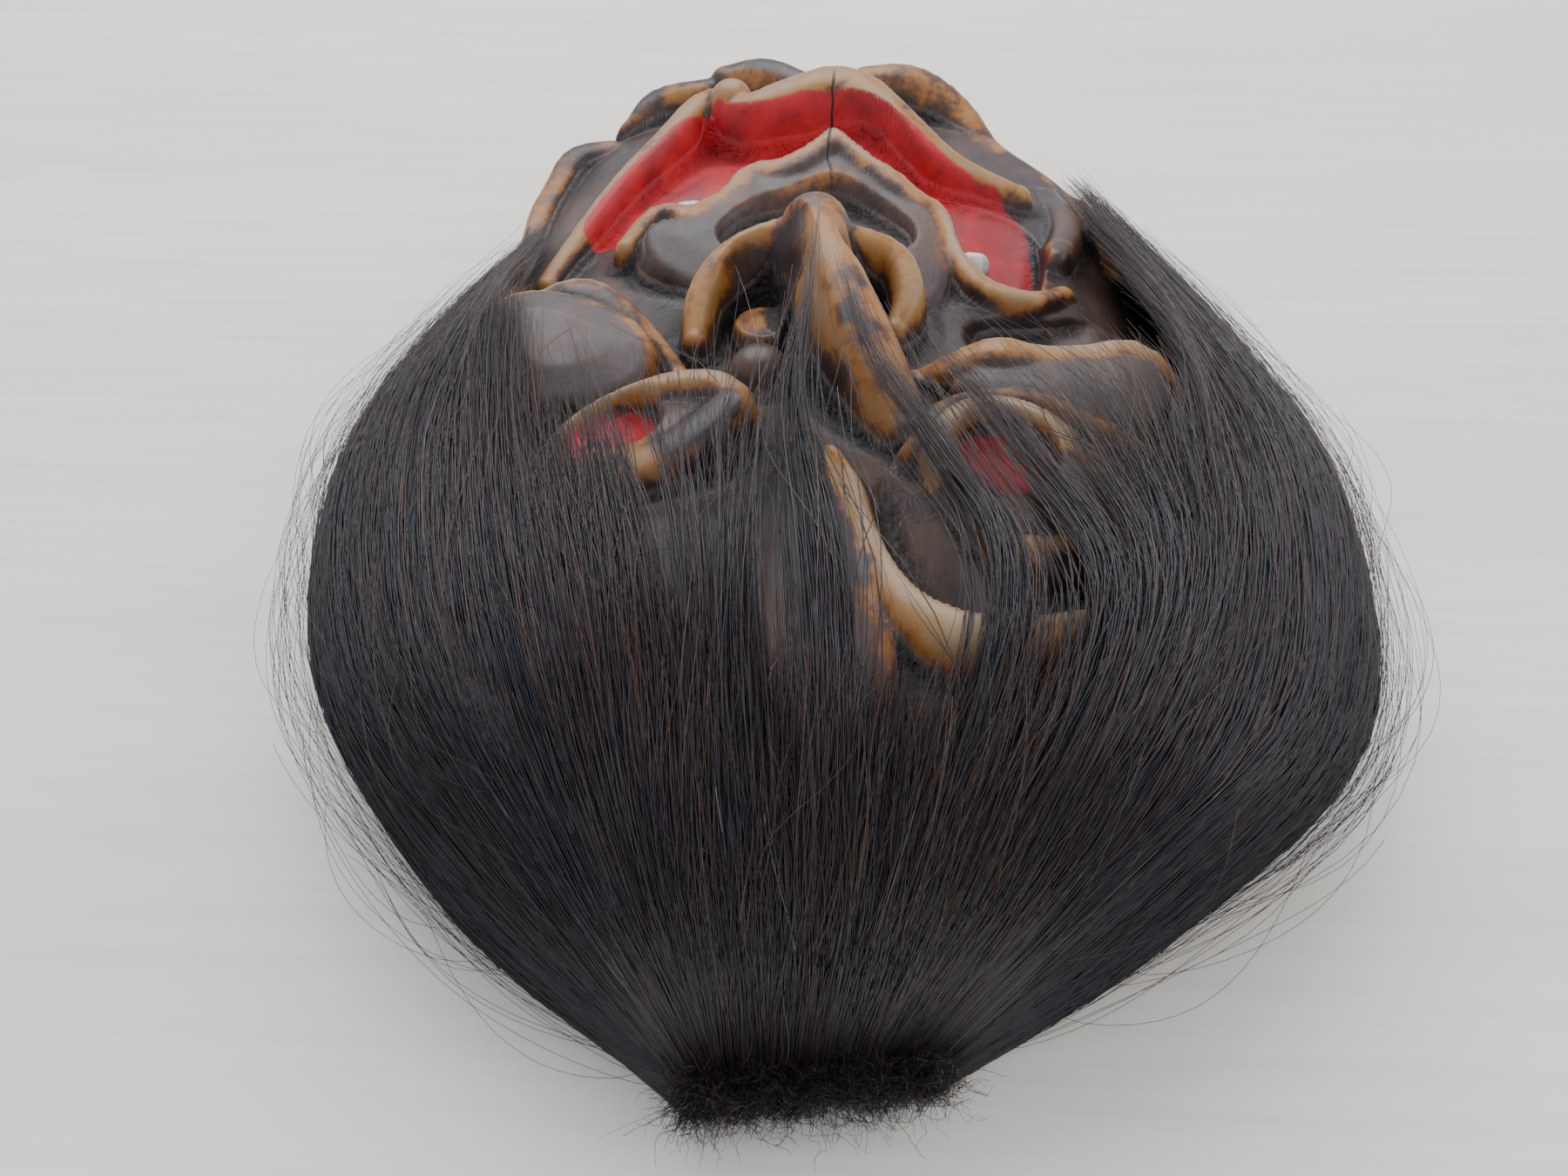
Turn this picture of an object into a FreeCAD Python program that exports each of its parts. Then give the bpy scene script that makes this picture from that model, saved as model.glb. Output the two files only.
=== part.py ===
"""A carved wooden carnival mask with a long-haired pelt, lying face up on its back rim.

Millimetres. +Z points out of the face, +Y from the forehead to the chin, +X to the right of
someone standing at the forehead. The origin is on the plane of the back rim, in the middle.
"""
import FreeCAD
import Part

import math
import os

from FreeCAD import Rotation, Vector

doc = FreeCAD.newDocument("carved_mask")

# ---------------------------------------------------------------- driving dimensions
DRIVING_SIZES = (
    ("mask_width", 240.0),
    ("mask_length", 408.0),
    ("relief_scale", 1.0),
    ("surface_step", 4.0),
    ("hollow_depth", 84.0),
    ("wall_thickness", 11.0),
    ("hide_gap", 0.15),
    ("hide_thickness", 2.0),
    ("hide_height", 25.0),
    ("hair_cover", 9.0),
    ("hair_gap", 0.8),
    ("tack_head_radius", 3.2),
    ("tack_head_height", 1.3),
    ("tack_shank_radius", 0.9),
    ("tack_shank_length", 11.0),
    ("tooth_width", 14.5),
    ("tooth_height", 16.0),
    ("tooth_depth", 8.0),
    ("tooth_root_radius", 3.0),
    ("tooth_root_length", 8.0),
    ("plate_length", 46.0),
    ("plate_width", 18.0),
    ("plate_thickness", 1.5),
    ("plate_setback", 0.3),
    ("keyhole_radius", 4.0),
    ("keyhole_slot_radius", 2.0),
    ("keyhole_slot_length", 6.0),
    ("screw_spacing", 30.0),
    ("screw_head_radius", 2.9),
    ("screw_shank_radius", 1.4),
    ("screw_length", 13.0),
)


def make_sheet():
    """The spreadsheet that every sub-part reads its sizes from."""
    made = doc.addObject("Spreadsheet::Sheet", "sizes")
    for row, (name, value) in enumerate(DRIVING_SIZES, start=1):
        made.set(f"A{row}", name)
        made.set(f"B{row}", str(value))
        made.setAlias(f"B{row}", name)
    doc.recompute()
    return made


sheet = make_sheet()


def size(name):
    """A driving dimension's value."""
    return float(sheet.get(name))


def bind(thing, **sizes):
    """Ties properties of a document object to cells of the sheet."""
    for name, cell in sizes.items():
        thing.setExpression(name, cell)


# The carving's points are laid out for a mask of this size, and follow the sheet from there.
DRAWN_WIDTH = 240.0
DRAWN_LENGTH = 408.0
WIDER = size("mask_width") / DRAWN_WIDTH
LONGER = size("mask_length") / DRAWN_LENGTH
TALLER = size("relief_scale")

# ---------------------------------------------------------------- plan outlines (x, y)
WOOD_OUTLINE = (
    (0, -195), (35, -190), (70, -165), (100, -125), (115, -65), (115, 0), (115, 60), (110, 110),
    (100, 145), (75, 170), (65, 200), (45, 215), (20, 210), (0, 200), (-20, 210), (-40, 215),
    (-60, 210), (-80, 215), (-95, 190), (-115, 185), (-125, 140), (-120, 50), (-115, -65),
    (-100, -125), (-70, -165), (-35, -190),
)
HAIR_OUTLINE = (
    (0, -205), (30, -200), (80, -175), (120, -145), (145, -105), (155, -55), (150, 0), (145, 60),
    (125, 120), (60, 150), (-60, 150), (-125, 100), (-145, 50), (-150, 0), (-150, -55),
    (-140, -105), (-115, -145), (-75, -180), (-30, -205),
)
# The mouth of the scooped-out back, a rim's width inside the wood.
HOLLOW_OUTLINE = (
    (0, -155), (35, -150), (65, -135), (85, -105), (95, -60), (95, 0), (95, 60), (85, 110),
    (65, 150), (45, 175), (0, 185), (-60, 185), (-90, 165), (-100, 120), (-100, 50), (-100, 0),
    (-95, -60), (-85, -105), (-60, -140), (-35, -150),
)
FACE_OPENING = (
    (-120, 160), (-110, 90), (-105, 40), (-100, 0), (-85, -30), (-70, -60), (-70, -110),
    (-60, -140), (-30, -155), (0, -165), (30, -160), (60, -145), (85, -120), (100, -80),
    (105, -20), (105, 30), (100, 80), (95, 160),
)

# ---------------------------------------------------------------- the block before carving
# Height of the block along the middle, as (y, z).
MIDDLE_HEIGHTS = (
    (-230, 2), (-205, 34), (-193, 56), (-178, 78), (-160, 90), (-135, 95), (-105, 90),
    (-70, 80), (-30, 71), (20, 67), (70, 65), (120, 64), (165, 62), (195, 58), (212, 52),
    (240, 40),
)
BLOCK_HALF_WIDTH = 130.0
BLOCK_FULLNESS = 3.0
HOLLOW_FULLNESS = 2.4
HOLLOW_ROUNDING = 34.0
# Depth of the hollow along the middle, as (y, share of the hollow's full depth).
HOLLOW_DEPTHS = ((-140, 0.98), (-70, 0.97), (0, 0.92), (80, 0.8), (200, 0.68))

# ---------------------------------------------------------------- carved forms
# Ridges and beads: points of a crest as (x, y, crest height, half width).
RIDGES = {
    "brow_right": (
        (0, -85, 95, 4), (10, -120, 101, 7), (15, -140, 103, 9), (35, -150, 103, 9),
        (60, -135, 96, 8), (80, -115, 87, 6), (95, -95, 79, 5),
    ),
    "brow_left": (
        (-20, -125, 97, 5), (-30, -145, 99, 7), (-50, -140, 95, 8), (-75, -120, 86, 7),
        (-90, -95, 76, 5),
    ),
    "lower_lid_left": (
        (-75, -80, 82, 4), (-65, -65, 89, 5), (-45, -55, 94, 5), (-30, -55, 96, 5),
        (-25, -60, 95, 6),
    ),
    "upper_lid_left": (
        (-70, -95, 87, 8), (-50, -90, 92, 9), (-35, -80, 95, 8), (-25, -65, 96, 7),
    ),
    "lower_lid_right": (
        (25, -85, 87, 4), (30, -65, 93, 5), (45, -60, 94, 5), (60, -70, 92, 5), (65, -85, 90, 3),
    ),
    "upper_lid_right": (
        (40, -110, 90, 4), (60, -115, 94, 4), (80, -105, 87, 4), (95, -95, 77, 4),
    ),
    "eye_fold_inner": (
        (20, -75, 87, 3), (30, -55, 90, 4), (55, -50, 89, 4), (80, -65, 85, 4), (105, -90, 73, 3),
    ),
    "eye_fold_outer": (
        (80, -95, 84, 3), (95, -85, 80, 3), (105, -75, 74, 3),
    ),
    "nose_bridge": (
        (-5, 20, 106, 9), (0, -5, 105, 9), (10, -35, 98, 11), (20, -60, 87, 9),
    ),
    "nostril_left": (
        (-10, 25, 99, 4), (-30, 20, 94, 5), (-40, 5, 87, 5), (-40, -10, 79, 4),
    ),
    "nostril_right": (
        (0, 20, 99, 4), (20, 20, 94, 5), (25, 5, 88, 5), (20, -5, 81, 4),
    ),
    "cheek_left": (
        (-110, -15, 63, 7), (-95, 0, 80, 8), (-75, 0, 91, 9), (-60, -10, 86, 8), (-45, -25, 76, 6),
    ),
    "cheek_right": (
        (25, -25, 76, 5), (45, -30, 92, 8), (65, -25, 83, 7), (90, -20, 87, 7), (105, -40, 68, 6),
    ),
    "upper_lip": (
        (-70, 60, 70, 5), (-60, 75, 77, 6), (-45, 65, 78, 6), (-30, 90, 85, 8), (-15, 85, 87, 9),
        (0, 105, 93, 12), (15, 90, 89, 10), (25, 75, 84, 6), (40, 70, 78, 5), (45, 35, 73, 5),
        (65, 30, 69, 5), (80, 50, 60, 5),
    ),
    "corner_right": (
        (80, 70, 64, 6), (90, 100, 60, 8), (85, 130, 56, 7),
    ),
    "lower_lip": (
        (-100, 60, 55, 5), (-80, 105, 70, 5), (-65, 130, 76, 6), (-50, 165, 81, 8),
        (-35, 145, 84, 9), (-15, 150, 90, 12), (5, 155, 94, 15), (25, 130, 88, 10),
        (45, 115, 76, 7), (70, 110, 67, 6),
    ),
    "chin_lobe": (
        (-15, 195, 75, 9), (-30, 205, 77, 12), (-45, 205, 73, 9),
    ),
    "jaw_lobe": (
        (-55, 200, 69, 8), (-75, 205, 64, 11), (-90, 195, 55, 8),
    ),
    "jaw_side": (
        (-95, 180, 50, 8), (-110, 175, 50, 9), (-115, 155, 44, 7), (-120, 130, 42, 8),
        (-115, 80, 34, 6),
    ),
    "chin_right": (
        (15, 195, 77, 10), (35, 200, 77, 13), (55, 190, 66, 11), (70, 165, 50, 7),
    ),
    "jaw_right": (
        (85, 150, 46, 6), (100, 130, 52, 8), (105, 105, 50, 8), (105, 85, 48, 6),
    ),
}
# Raised panels with a flat or pillowed top: (outline, height, slope towards +Y, pillow).
PANELS = {
    "forehead_leaf": (
        ((-5, -80), (-15, -105), (-20, -130), (-15, -155), (-5, -175), (10, -170), (15, -145),
         (5, -105)),
        99.0, 0.06, 4.0,
    ),
    "cheek_plane_left": (
        ((-100, -10), (-80, -5), (-50, -20), (-50, -45), (-80, -55), (-100, -40)),
        86.0, 0.2, 3.0,
    ),
    "cheek_plane_right": (
        ((35, -35), (60, -30), (90, -25), (95, -50), (70, -60), (35, -45)),
        84.0, 0.15, 2.0,
    ),
    "eyeball_right": (
        ((30, -75), (40, -65), (55, -65), (85, -90), (70, -105), (50, -110), (30, -95)),
        90.0, 0.02, 2.0,
    ),
    "eye_left": (
        ((-70, -80), (-60, -65), (-30, -55), (-25, -65), (-45, -90), (-65, -95)),
        90.0, 0.0, 2.0,
    ),
    "lip_skin": (
        ((-60, 40), (-65, 60), (-45, 65), (-30, 85), (-15, 85), (0, 100), (20, 80), (40, 65),
         (40, 30), (25, 20), (-30, 25)),
        77.0, 0.28, 2.0,
    ),
}
# Round knobs: (x, y, top height, radius).
KNOBS = {
    "nose_tip": (-5, 20, 107, 11),
    "wart": (-20, 0, 92, 7),
    "nose_root": (-20, -25, 83, 10),
    "lip_knob": (-40, 155, 87, 9),
}
# Hollows: (outline, floor height, slope towards +Y, steepness of the wall).
HOLLOWS = {
    "eye_pit_left": (
        ((-70, -75), (-60, -60), (-45, -60), (-45, -75), (-65, -85)),
        84.0, 0.0, 2.6,
    ),
    "eye_pit_right": (
        ((30, -75), (40, -65), (55, -70), (55, -85), (45, -95), (35, -90)),
        85.0, 0.0, 2.6,
    ),
    "nostril_pit_left": (
        ((-30, 10), (-20, 15), (-15, 5), (-15, -10), (-30, -10)),
        76.0, 0.0, 2.6,
    ),
    "nostril_pit_right": (
        ((5, 10), (15, 15), (20, 5), (15, -10)),
        88.0, 0.0, 2.6,
    ),
    "socket_right": (
        ((10, -90), (20, -70), (30, -100), (45, -125), (65, -120), (80, -105), (70, -125),
         (50, -135), (30, -140), (20, -130)),
        82.0, 0.0, 2.6,
    ),
    "mouth": (
        ((-90, 75), (-60, 85), (-45, 75), (-35, 95), (-15, 95), (0, 115), (20, 90), (45, 80),
         (50, 45), (65, 40), (75, 65), (75, 95), (45, 105), (30, 115), (10, 140), (-30, 135),
         (-50, 145), (-70, 105)),
        58.0, 0.35, 5.0,
    ),
    "lip_recess": (
        ((-40, 50), (-30, 65), (-15, 70), (0, 80), (15, 70), (30, 55), (20, 45), (0, 45),
         (-20, 45)),
        72.0, 0.1, 3.0,
    ),
    "jaw_hollow_right": (
        ((45, 20), (70, 25), (90, 40), (100, 20), (95, -5), (70, -10), (50, -10)),
        54.0, 0.0, 2.6,
    ),
}
RIDGE_SHOULDER = 0.35
PANEL_EDGE = 3.0
WALL_STEEPNESS = 2.6
BLEND = 2.0


def between(pairs, value):
    """Smoothly interpolated height at value, from (position, height) pairs in order."""
    for (low, low_height), (high, high_height) in zip(pairs, pairs[1:]):
        if value <= high:
            share = min(max((value - low) / (high - low), 0.0), 1.0)
            return low_height + (high_height - low_height) * share
    return pairs[-1][1]


def rounded(points, closed, rounds=2):
    """Chaikin's corner cutting: the same route with its corners rounded."""
    for _ in range(rounds):
        pairs = list(zip(points, points[1:]))
        if closed:
            pairs.append((points[-1], points[0]))
        cut = []
        for start, end in pairs:
            for share in (0.25, 0.75):
                cut.append(tuple(a + (b - a) * share for a, b in zip(start, end)))
        points = cut if closed else [points[0], *cut[1:-1], points[-1]]
    return points


def nearest_on(points, closed, x, y):
    """Distance from (x, y) to a route, and the route's extra values there."""
    best, values = 1e18, ()
    ends = points[1:] + points[:1] if closed else points[1:]
    for start, end in zip(points, ends):
        dx, dy = end[0] - start[0], end[1] - start[1]
        along = ((x - start[0]) * dx + (y - start[1]) * dy) / max(dx * dx + dy * dy, 1e-12)
        along = min(max(along, 0.0), 1.0)
        gap = (start[0] + along * dx - x) ** 2 + (start[1] + along * dy - y) ** 2
        if gap < best:
            best = gap
            values = tuple(a + (b - a) * along for a, b in zip(start[2:], end[2:]))
    return math.sqrt(best), values


def inside(points, x, y):
    """True where (x, y) lies inside a closed outline."""
    within = False
    for (ax, ay), (bx, by) in zip(points, points[1:] + points[:1]):
        if (ay > y) != (by > y) and x < ax + (bx - ax) * (y - ay) / (by - ay):
            within = not within
    return within


def higher(a, b):
    """The higher of two heights, blended where they are close."""
    mix = max(BLEND - abs(a - b), 0.0) / BLEND
    return max(a, b) + mix * mix * BLEND / 4


def lower(a, b):
    """The lower of two heights, blended where they are close."""
    return -higher(-a, -b)


def block_height(x, y):
    """Height of the uncarved block."""
    across = min(abs(x) / BLOCK_HALF_WIDTH, 1.0)
    return between(MIDDLE_HEIGHTS, y) * (1 - across**BLOCK_FULLNESS) ** 0.5


def panel_gap(outline, x, y):
    """Distance outside an outline, negative inside it."""
    gap, _ = nearest_on(outline, True, x, y)
    return -gap if inside(outline, x, y) else gap


def edge_drop(gap, edge, steepness):
    """How far a rounded edge has fallen at this distance outside its outline."""
    if gap < -edge:
        return 0.0
    if gap < 0:
        return (gap + edge) ** 2 / (2 * edge) * 0.5
    return edge * 0.25 + gap * steepness


def smoothed_features():
    """The carved forms with their routes rounded, each with the box it can reach."""
    forms = []

    def reach(points, margin):
        xs, ys = [p[0] for p in points], [p[1] for p in points]
        return min(xs) - margin, max(xs) + margin, min(ys) - margin, max(ys) + margin

    for outline, height, slope, pillow in PANELS.values():
        points = rounded(list(outline), closed=True)
        forms.append(("panel", points, (height, slope, pillow), reach(points, 20)))
    for crest in RIDGES.values():
        points = rounded(list(crest), closed=False)
        forms.append(("ridge", points, (), reach(points, 24)))
    for x, y, height, radius in KNOBS.values():
        forms.append(("knob", [(x, y)], (height, radius), reach([(x, y)], 2 * radius)))
    for outline, *values in HOLLOWS.values():
        points = rounded(list(outline), closed=True)
        forms.append(("hollow", points, values, reach(points, 24)))
    return forms


FORMS = smoothed_features()


def ridge_height(points, x, y):
    gap, (crest, half) = nearest_on(points, False, x, y)
    share = gap / half
    return crest - half * (RIDGE_SHOULDER * share**2 + (1 - RIDGE_SHOULDER) * min(share, 3.0) ** 5)


def carved_height(x, y):
    """Height of the carved face over a point of the plan, in drawn millimetres."""
    z = block_height(x, y)
    for kind, points, values, (left, right, near, far) in FORMS:
        if not (left < x < right and near < y < far):
            continue
        if kind == "panel":
            height, slope, pillow = values
            middle = sum(p[1] for p in points) / len(points)
            gap = panel_gap(points, x, y)
            crown = pillow * min(max(-gap, 0.0) / 12.0, 1.0)
            top = height + slope * (y - middle) + crown
            z = higher(z, top - edge_drop(gap, PANEL_EDGE, WALL_STEEPNESS))
        elif kind == "ridge":
            z = higher(z, ridge_height(points, x, y))
        elif kind == "knob":
            height, radius = values
            gap = math.hypot(x - points[0][0], y - points[0][1]) / radius
            z = higher(z, height - radius * (0.4 * gap**2 + 0.5 * min(gap, 2.0) ** 5))
        else:
            floor, slope, steepness = values
            middle = sum(p[1] for p in points) / len(points)
            gap = panel_gap(points, x, y)
            bottom = floor + slope * (y - middle)
            z = lower(z, bottom + edge_drop(gap, PANEL_EDGE, steepness))
    return z


def hollow_height(x, y):
    """Height of the scooped-out back over a point of the plan, in drawn millimetres."""
    edge, _ = nearest_on(HOLLOW_OUTLINE, True, x, y)
    if not inside(HOLLOW_OUTLINE, x, y):
        return -min(edge, 4.0)
    share = 1 - (1 - min(edge / HOLLOW_ROUNDING, 1.0)) ** HOLLOW_FULLNESS
    dome = size("hollow_depth") * between(HOLLOW_DEPTHS, y) * share**0.6
    if dome < 10.0:
        return dome
    near = ((0, 0), (8, 0), (-8, 0), (0, 8), (0, -8))
    thinnest = min(carved_height(x + dx, y + dy) for dx, dy in near)
    return min(dome, thinnest - size("wall_thickness"))


# ---------------------------------------------------------------- surfaces and solids
GRID_X = (-165.0, 165.0)
GRID_Y = (-215.0, 235.0)


def surface_below(height_at, lift=0.0, base=-20.0):
    """The solid under a smooth surface whose poles lie at height_at(x, y) + lift."""
    step = size("surface_step")
    columns = int((GRID_X[1] - GRID_X[0]) / step) + 1
    rows = int((GRID_Y[1] - GRID_Y[0]) / step) + 1
    poles = []
    for i in range(columns):
        x = GRID_X[0] + (GRID_X[1] - GRID_X[0]) * i / (columns - 1)
        line = []
        for j in range(rows):
            y = GRID_Y[0] + (GRID_Y[1] - GRID_Y[0]) * j / (rows - 1)
            line.append(Vector(x * WIDER, y * LONGER, height_at(x, y) * TALLER + lift))
        poles.append(line)
    surface = Part.BSplineSurface()
    surface.buildFromPolesMultsKnots(
        poles, ends_clamped(columns), ends_clamped(rows), even_knots(columns), even_knots(rows),
        False, False, 3, 3,
    )
    depth = base - 200.0
    block = surface.toShape().extrude(Vector(0, 0, depth))
    return block if block.isValid() else Part.Solid(block.Shells[0])


def ends_clamped(poles):
    return [4] + [1] * (poles - 4) + [4]


def even_knots(poles):
    return [float(k) for k in range(poles - 2)]


def outline_curve(points, offset=0.0):
    """A closed smooth curve through plan points, moved outwards by offset."""
    through = [Vector(x * WIDER, y * LONGER, 0) for x, y in points]
    curve = Part.BSplineCurve()
    curve.interpolate(through, PeriodicFlag=True)
    if offset == 0.0:
        return curve
    moved = []
    steps = 4 * len(points)
    span = curve.LastParameter - curve.FirstParameter
    for k in range(steps):
        at = curve.FirstParameter + span * k / steps
        run = curve.tangent(at)[0]
        moved.append(curve.value(at) + Vector(run.y, -run.x, 0) * offset)
    wider = Part.BSplineCurve()
    wider.interpolate(moved, PeriodicFlag=True)
    return wider


def column(curve, low, high):
    """A closed plan curve extruded from height low to height high."""
    face = Part.Face(Part.Wire([curve.toShape()]))
    face.translate(Vector(0, 0, low))
    return face.extrude(Vector(0, 0, high - low))


def box(x0, x1, y0, y1, z0, z1):
    return Part.makeBox(x1 - x0, y1 - y0, z1 - z0, Vector(x0, y0, z0))


def keep(label, shape):
    """A named sub-part whose shape is made by Part's own functions."""
    made = doc.addObject("Part::Feature", label)
    made.Shape = shape
    made.Label = label
    made.Placement = FreeCAD.Placement(CENTRING, Rotation())
    return made


TALL = 160.0
# Moves the finished parts so that the origin is in the middle of the whole object.
CENTRING = Vector(0.0, -5.0, 0.0)

# ---------------------------------------------------------------- places of the small parts
# Tack positions along the wood outline, as a share of the way round from the crown.
CROWN_TACKS = (-0.085, -0.045, 0.0, 0.045, 0.085)
RIGHT_TACKS = (0.15, 0.19, 0.23, 0.27, 0.31)
LEFT_TACKS = (-0.14, -0.175, -0.21, -0.245, -0.28)
TACK_HEIGHT = 13.0
# Teeth: (x, y, gum height, lean to the right in degrees, share of the full size).
TEETH = {
    "tooth_left": (-50.0, 85.0, 54.0, -8.0, 1.0),
    "tooth_right": (50.0, 65.0, 50.0, 6.0, 0.8),
}
# How far above the gum the hole for a tooth is started.
DRILL_START = 8.0
HANGER_AT = Vector(0.0, -174.0, 0.0)
# The hide stops on each side at this distance along the mask.
HIDE_ENDS = {"left": 96.0, "right": 128.0}
SPLIT_Y = -112.0
SPLIT_GAP = 0.5
FORELOCK = (
    (-10, -160), (-10, -120), (-10, -80), (-10, -45), (-10, -15), (-5, -10), (0, -40), (5, -80),
    (5, -120), (5, -160),
)
INNER_LOCK = (
    (45, -160), (40, -130), (25, -100), (15, -70), (10, -45), (15, -40), (25, -65), (35, -90),
    (50, -120), (60, -150),
)
LOCK_THICKNESS = 2.5


def along_outline(curve, share):
    """A point of a closed plan curve and its outward direction, share of the way round."""
    span = curve.LastParameter - curve.FirstParameter
    at = curve.FirstParameter + span * (share % 1.0)
    run = curve.tangent(at)[0]
    return curve.value(at), Vector(run.y, -run.x, 0).normalize()


def tack_places():
    """Name of each tack row, with the point on the hide's outside and outward direction."""
    rows = {"hide_tacks_crown": CROWN_TACKS, "hide_tacks_right": RIGHT_TACKS,
            "hide_tacks_left": LEFT_TACKS}
    proud = size("hide_gap") + size("hide_thickness")
    places = {}
    for name, shares in rows.items():
        places[name] = []
        for share in shares:
            point, out = along_outline(WOOD, share)
            places[name].append((point + out * proud + Vector(0, 0, TACK_HEIGHT), out))
    return places


# ---------------------------------------------------------------- shared shapes
WOOD = outline_curve(WOOD_OUTLINE)
HIDE_IN = outline_curve(WOOD_OUTLINE, size("hide_gap"))
HIDE_OUT = outline_curve(WOOD_OUTLINE, size("hide_gap") + size("hide_thickness"))
HAIR_IN = outline_curve(
    WOOD_OUTLINE,
    size("hide_gap") + size("hide_thickness") + size("tack_head_height") + size("hair_gap"),
)


def hair_height(x, y):
    """Height of the outside of the hair over a point of the plan, in drawn millimetres."""
    reach = math.hypot(x / 153.0, min(y + 28, 0.0) / 178.0)
    full = between(((-200, 96), (-100, 98), (0, 84), (90, 66), (160, 50)), y)
    dome = full * max(1 - min(reach, 1.0) ** 2.8, 0.0) ** 0.5
    over_wood = carved_height(x, y) + size("hair_cover")
    return higher(dome, over_wood) if abs(x) < 118 else dome


# ---------------------------------------------------------------- the parts
def make_mask_body():
    """The face and hollow back, carved from one block, with its fixing holes."""
    wood = column(WOOD, 0.0, TALL).common(surface_below(carved_height))
    wood = wood.cut(surface_below(hollow_height))
    drilled = [tooth_root(*where, rise=DRILL_START) for where in TEETH.values()]
    for row in tack_places().values():
        drilled.extend(tack_hole(*place) for place in row)
    drilled.extend(hanger_pockets())
    wood = wood.cut(Part.makeCompound(drilled))
    return keep("mask_body", wood.Solids[0])


def tooth_axis(lean):
    """The direction a tooth stands in."""
    return Rotation(Vector(0, 1, 0), lean).multiply(Rotation(Vector(1, 0, 0), -18))


def tooth_root(x, y, gum, lean, share, rise=0.0):
    """The peg that holds a tooth in the jaw, or with a rise the hole drilled for it."""
    length = size("tooth_root_length")
    radius = size("tooth_root_radius") * share
    peg = Part.makeCylinder(radius, length + rise, Vector(0, 0, -length))
    peg.Placement = FreeCAD.Placement(Vector(x, y, gum), tooth_axis(lean))
    return peg


def tooth_crown(x, y, gum, lean, share):
    """The part of a tooth that shows: an oval block with a rounded biting edge."""
    wide, deep = size("tooth_width") * share / 2, size("tooth_depth") * share / 2
    tall = size("tooth_height") * share
    sections = []
    for rise, spread in ((0.0, 0.80), (0.3, 1.0), (0.7, 0.98), (0.9, 0.80), (1.0, 0.45)):
        ring = Part.Ellipse(Vector(0, 0, rise * tall), wide * spread, deep * spread)
        sections.append(Part.Wire([ring.toShape()]))
    crown = Part.makeLoft(sections, True, False)
    crown.Placement = FreeCAD.Placement(Vector(x, y, gum), tooth_axis(lean))
    return crown


def make_teeth(mask):
    """Both teeth, each a crown and a peg in one piece, clear of the carved jaw."""
    made = []
    for name, where in TEETH.items():
        crown = tooth_crown(*where).cut(mask.Shape)
        crown = max(crown.Solids, key=lambda part: part.Volume)
        tooth = crown.fuse(tooth_root(*where)).removeSplitter()
        made.append(keep(name, tooth.Solids[0]))
    return made


def make_hide(name, region):
    """One strip of hide round the rim wall, with its tack holes."""
    low, high = 1.0, 1.0 + size("hide_height")
    ring = column(HIDE_OUT, low, high).cut(column(HIDE_IN, low - 1, high + 1))
    strip = ring.common(region)
    holes = [tack_hole(*place) for row in tack_places().values() for place in row]
    strip = strip.cut(Part.makeCompound(holes))
    return keep(name, max(strip.Solids, key=lambda part: part.Volume))


def tack_shank(point, out):
    """A tack's shank, from the outside of the hide inwards."""
    return Part.makeCylinder(size("tack_shank_radius"), size("tack_shank_length"), point, -out)


def tack_hole(point, out):
    """The hole that a tack makes through the hide into the wood."""
    length = size("tack_shank_length") + 2.0
    return Part.makeCylinder(size("tack_shank_radius"), length, point + out * 2.0, -out)


def tack(point, out):
    """A dome-headed upholstery tack."""
    radius, height = size("tack_head_radius"), size("tack_head_height")
    sphere = (radius**2 + height**2) / (2 * height)
    ball = Part.makeSphere(sphere, point + out * (height - sphere))
    head = ball.common(Part.makeCylinder(radius * 1.5, height * 2, point, out))
    return head.fuse(tack_shank(point, out)).removeSplitter()


def make_tacks():
    """Each row of tacks, as a group of equal solids."""
    made = []
    for name, row in tack_places().items():
        solids = [tack(*place).Solids[0] for place in row]
        made.append(keep(name, Part.makeCompound(solids)))
    return made


def hair_blanket():
    """All the hair as one horseshoe round the face, clear of the wood and the hide."""
    outside = column(outline_curve(HAIR_OUTLINE), 1.0, TALL).common(surface_below(hair_height))
    over = surface_below(carved_height, lift=size("hair_gap"))
    within = column(HAIR_IN, -1.0, TALL).common(over)
    return outside.cut(within).cut(column(outline_curve(FACE_OPENING), -1.0, TALL))


def make_hair():
    """The pelt's hair in three masses, and the two locks combed over the forehead."""
    blanket = hair_blanket()
    far = 300.0
    gap = SPLIT_GAP / 2
    regions = {
        "hair_crown": box(-far, far, -far, SPLIT_Y - gap, -1, TALL),
        "hair_left": box(-far, 0, SPLIT_Y + gap, far, -1, TALL),
        "hair_right": box(0, far, SPLIT_Y + gap, far, -1, TALL),
    }
    made = []
    for name, region in regions.items():
        mass = blanket.common(region)
        made.append(keep(name, max(mass.Solids, key=lambda part: part.Volume)))
    low = surface_below(carved_height, lift=size("hair_gap"))
    high = surface_below(carved_height, lift=size("hair_gap") + LOCK_THICKNESS)
    for name, outline in (("hair_forelock", FORELOCK), ("hair_inner_lock", INNER_LOCK)):
        lock = column(outline_curve(outline), 1.0, TALL).common(high).cut(low)
        lock = lock.common(column(outline_curve(FACE_OPENING, -0.5), -1.0, TALL))
        made.append(keep(name, max(lock.Solids, key=lambda part: part.Volume)))
    return made


# ---------------------------------------------------------------- the hanger
def slab(long, wide, thick):
    """A round-ended slab lying on the back of the rim."""
    radius = wide / 2
    shape = Part.makeBox(long - wide, wide, thick, Vector(-(long - wide) / 2, -radius, 0))
    for side in (-1, 1):
        centre = Vector(side * (long - wide) / 2, 0, 0)
        shape = shape.fuse(Part.makeCylinder(radius, thick, centre))
    shape = shape.removeSplitter()
    shape.translate(HANGER_AT)
    return shape


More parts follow.
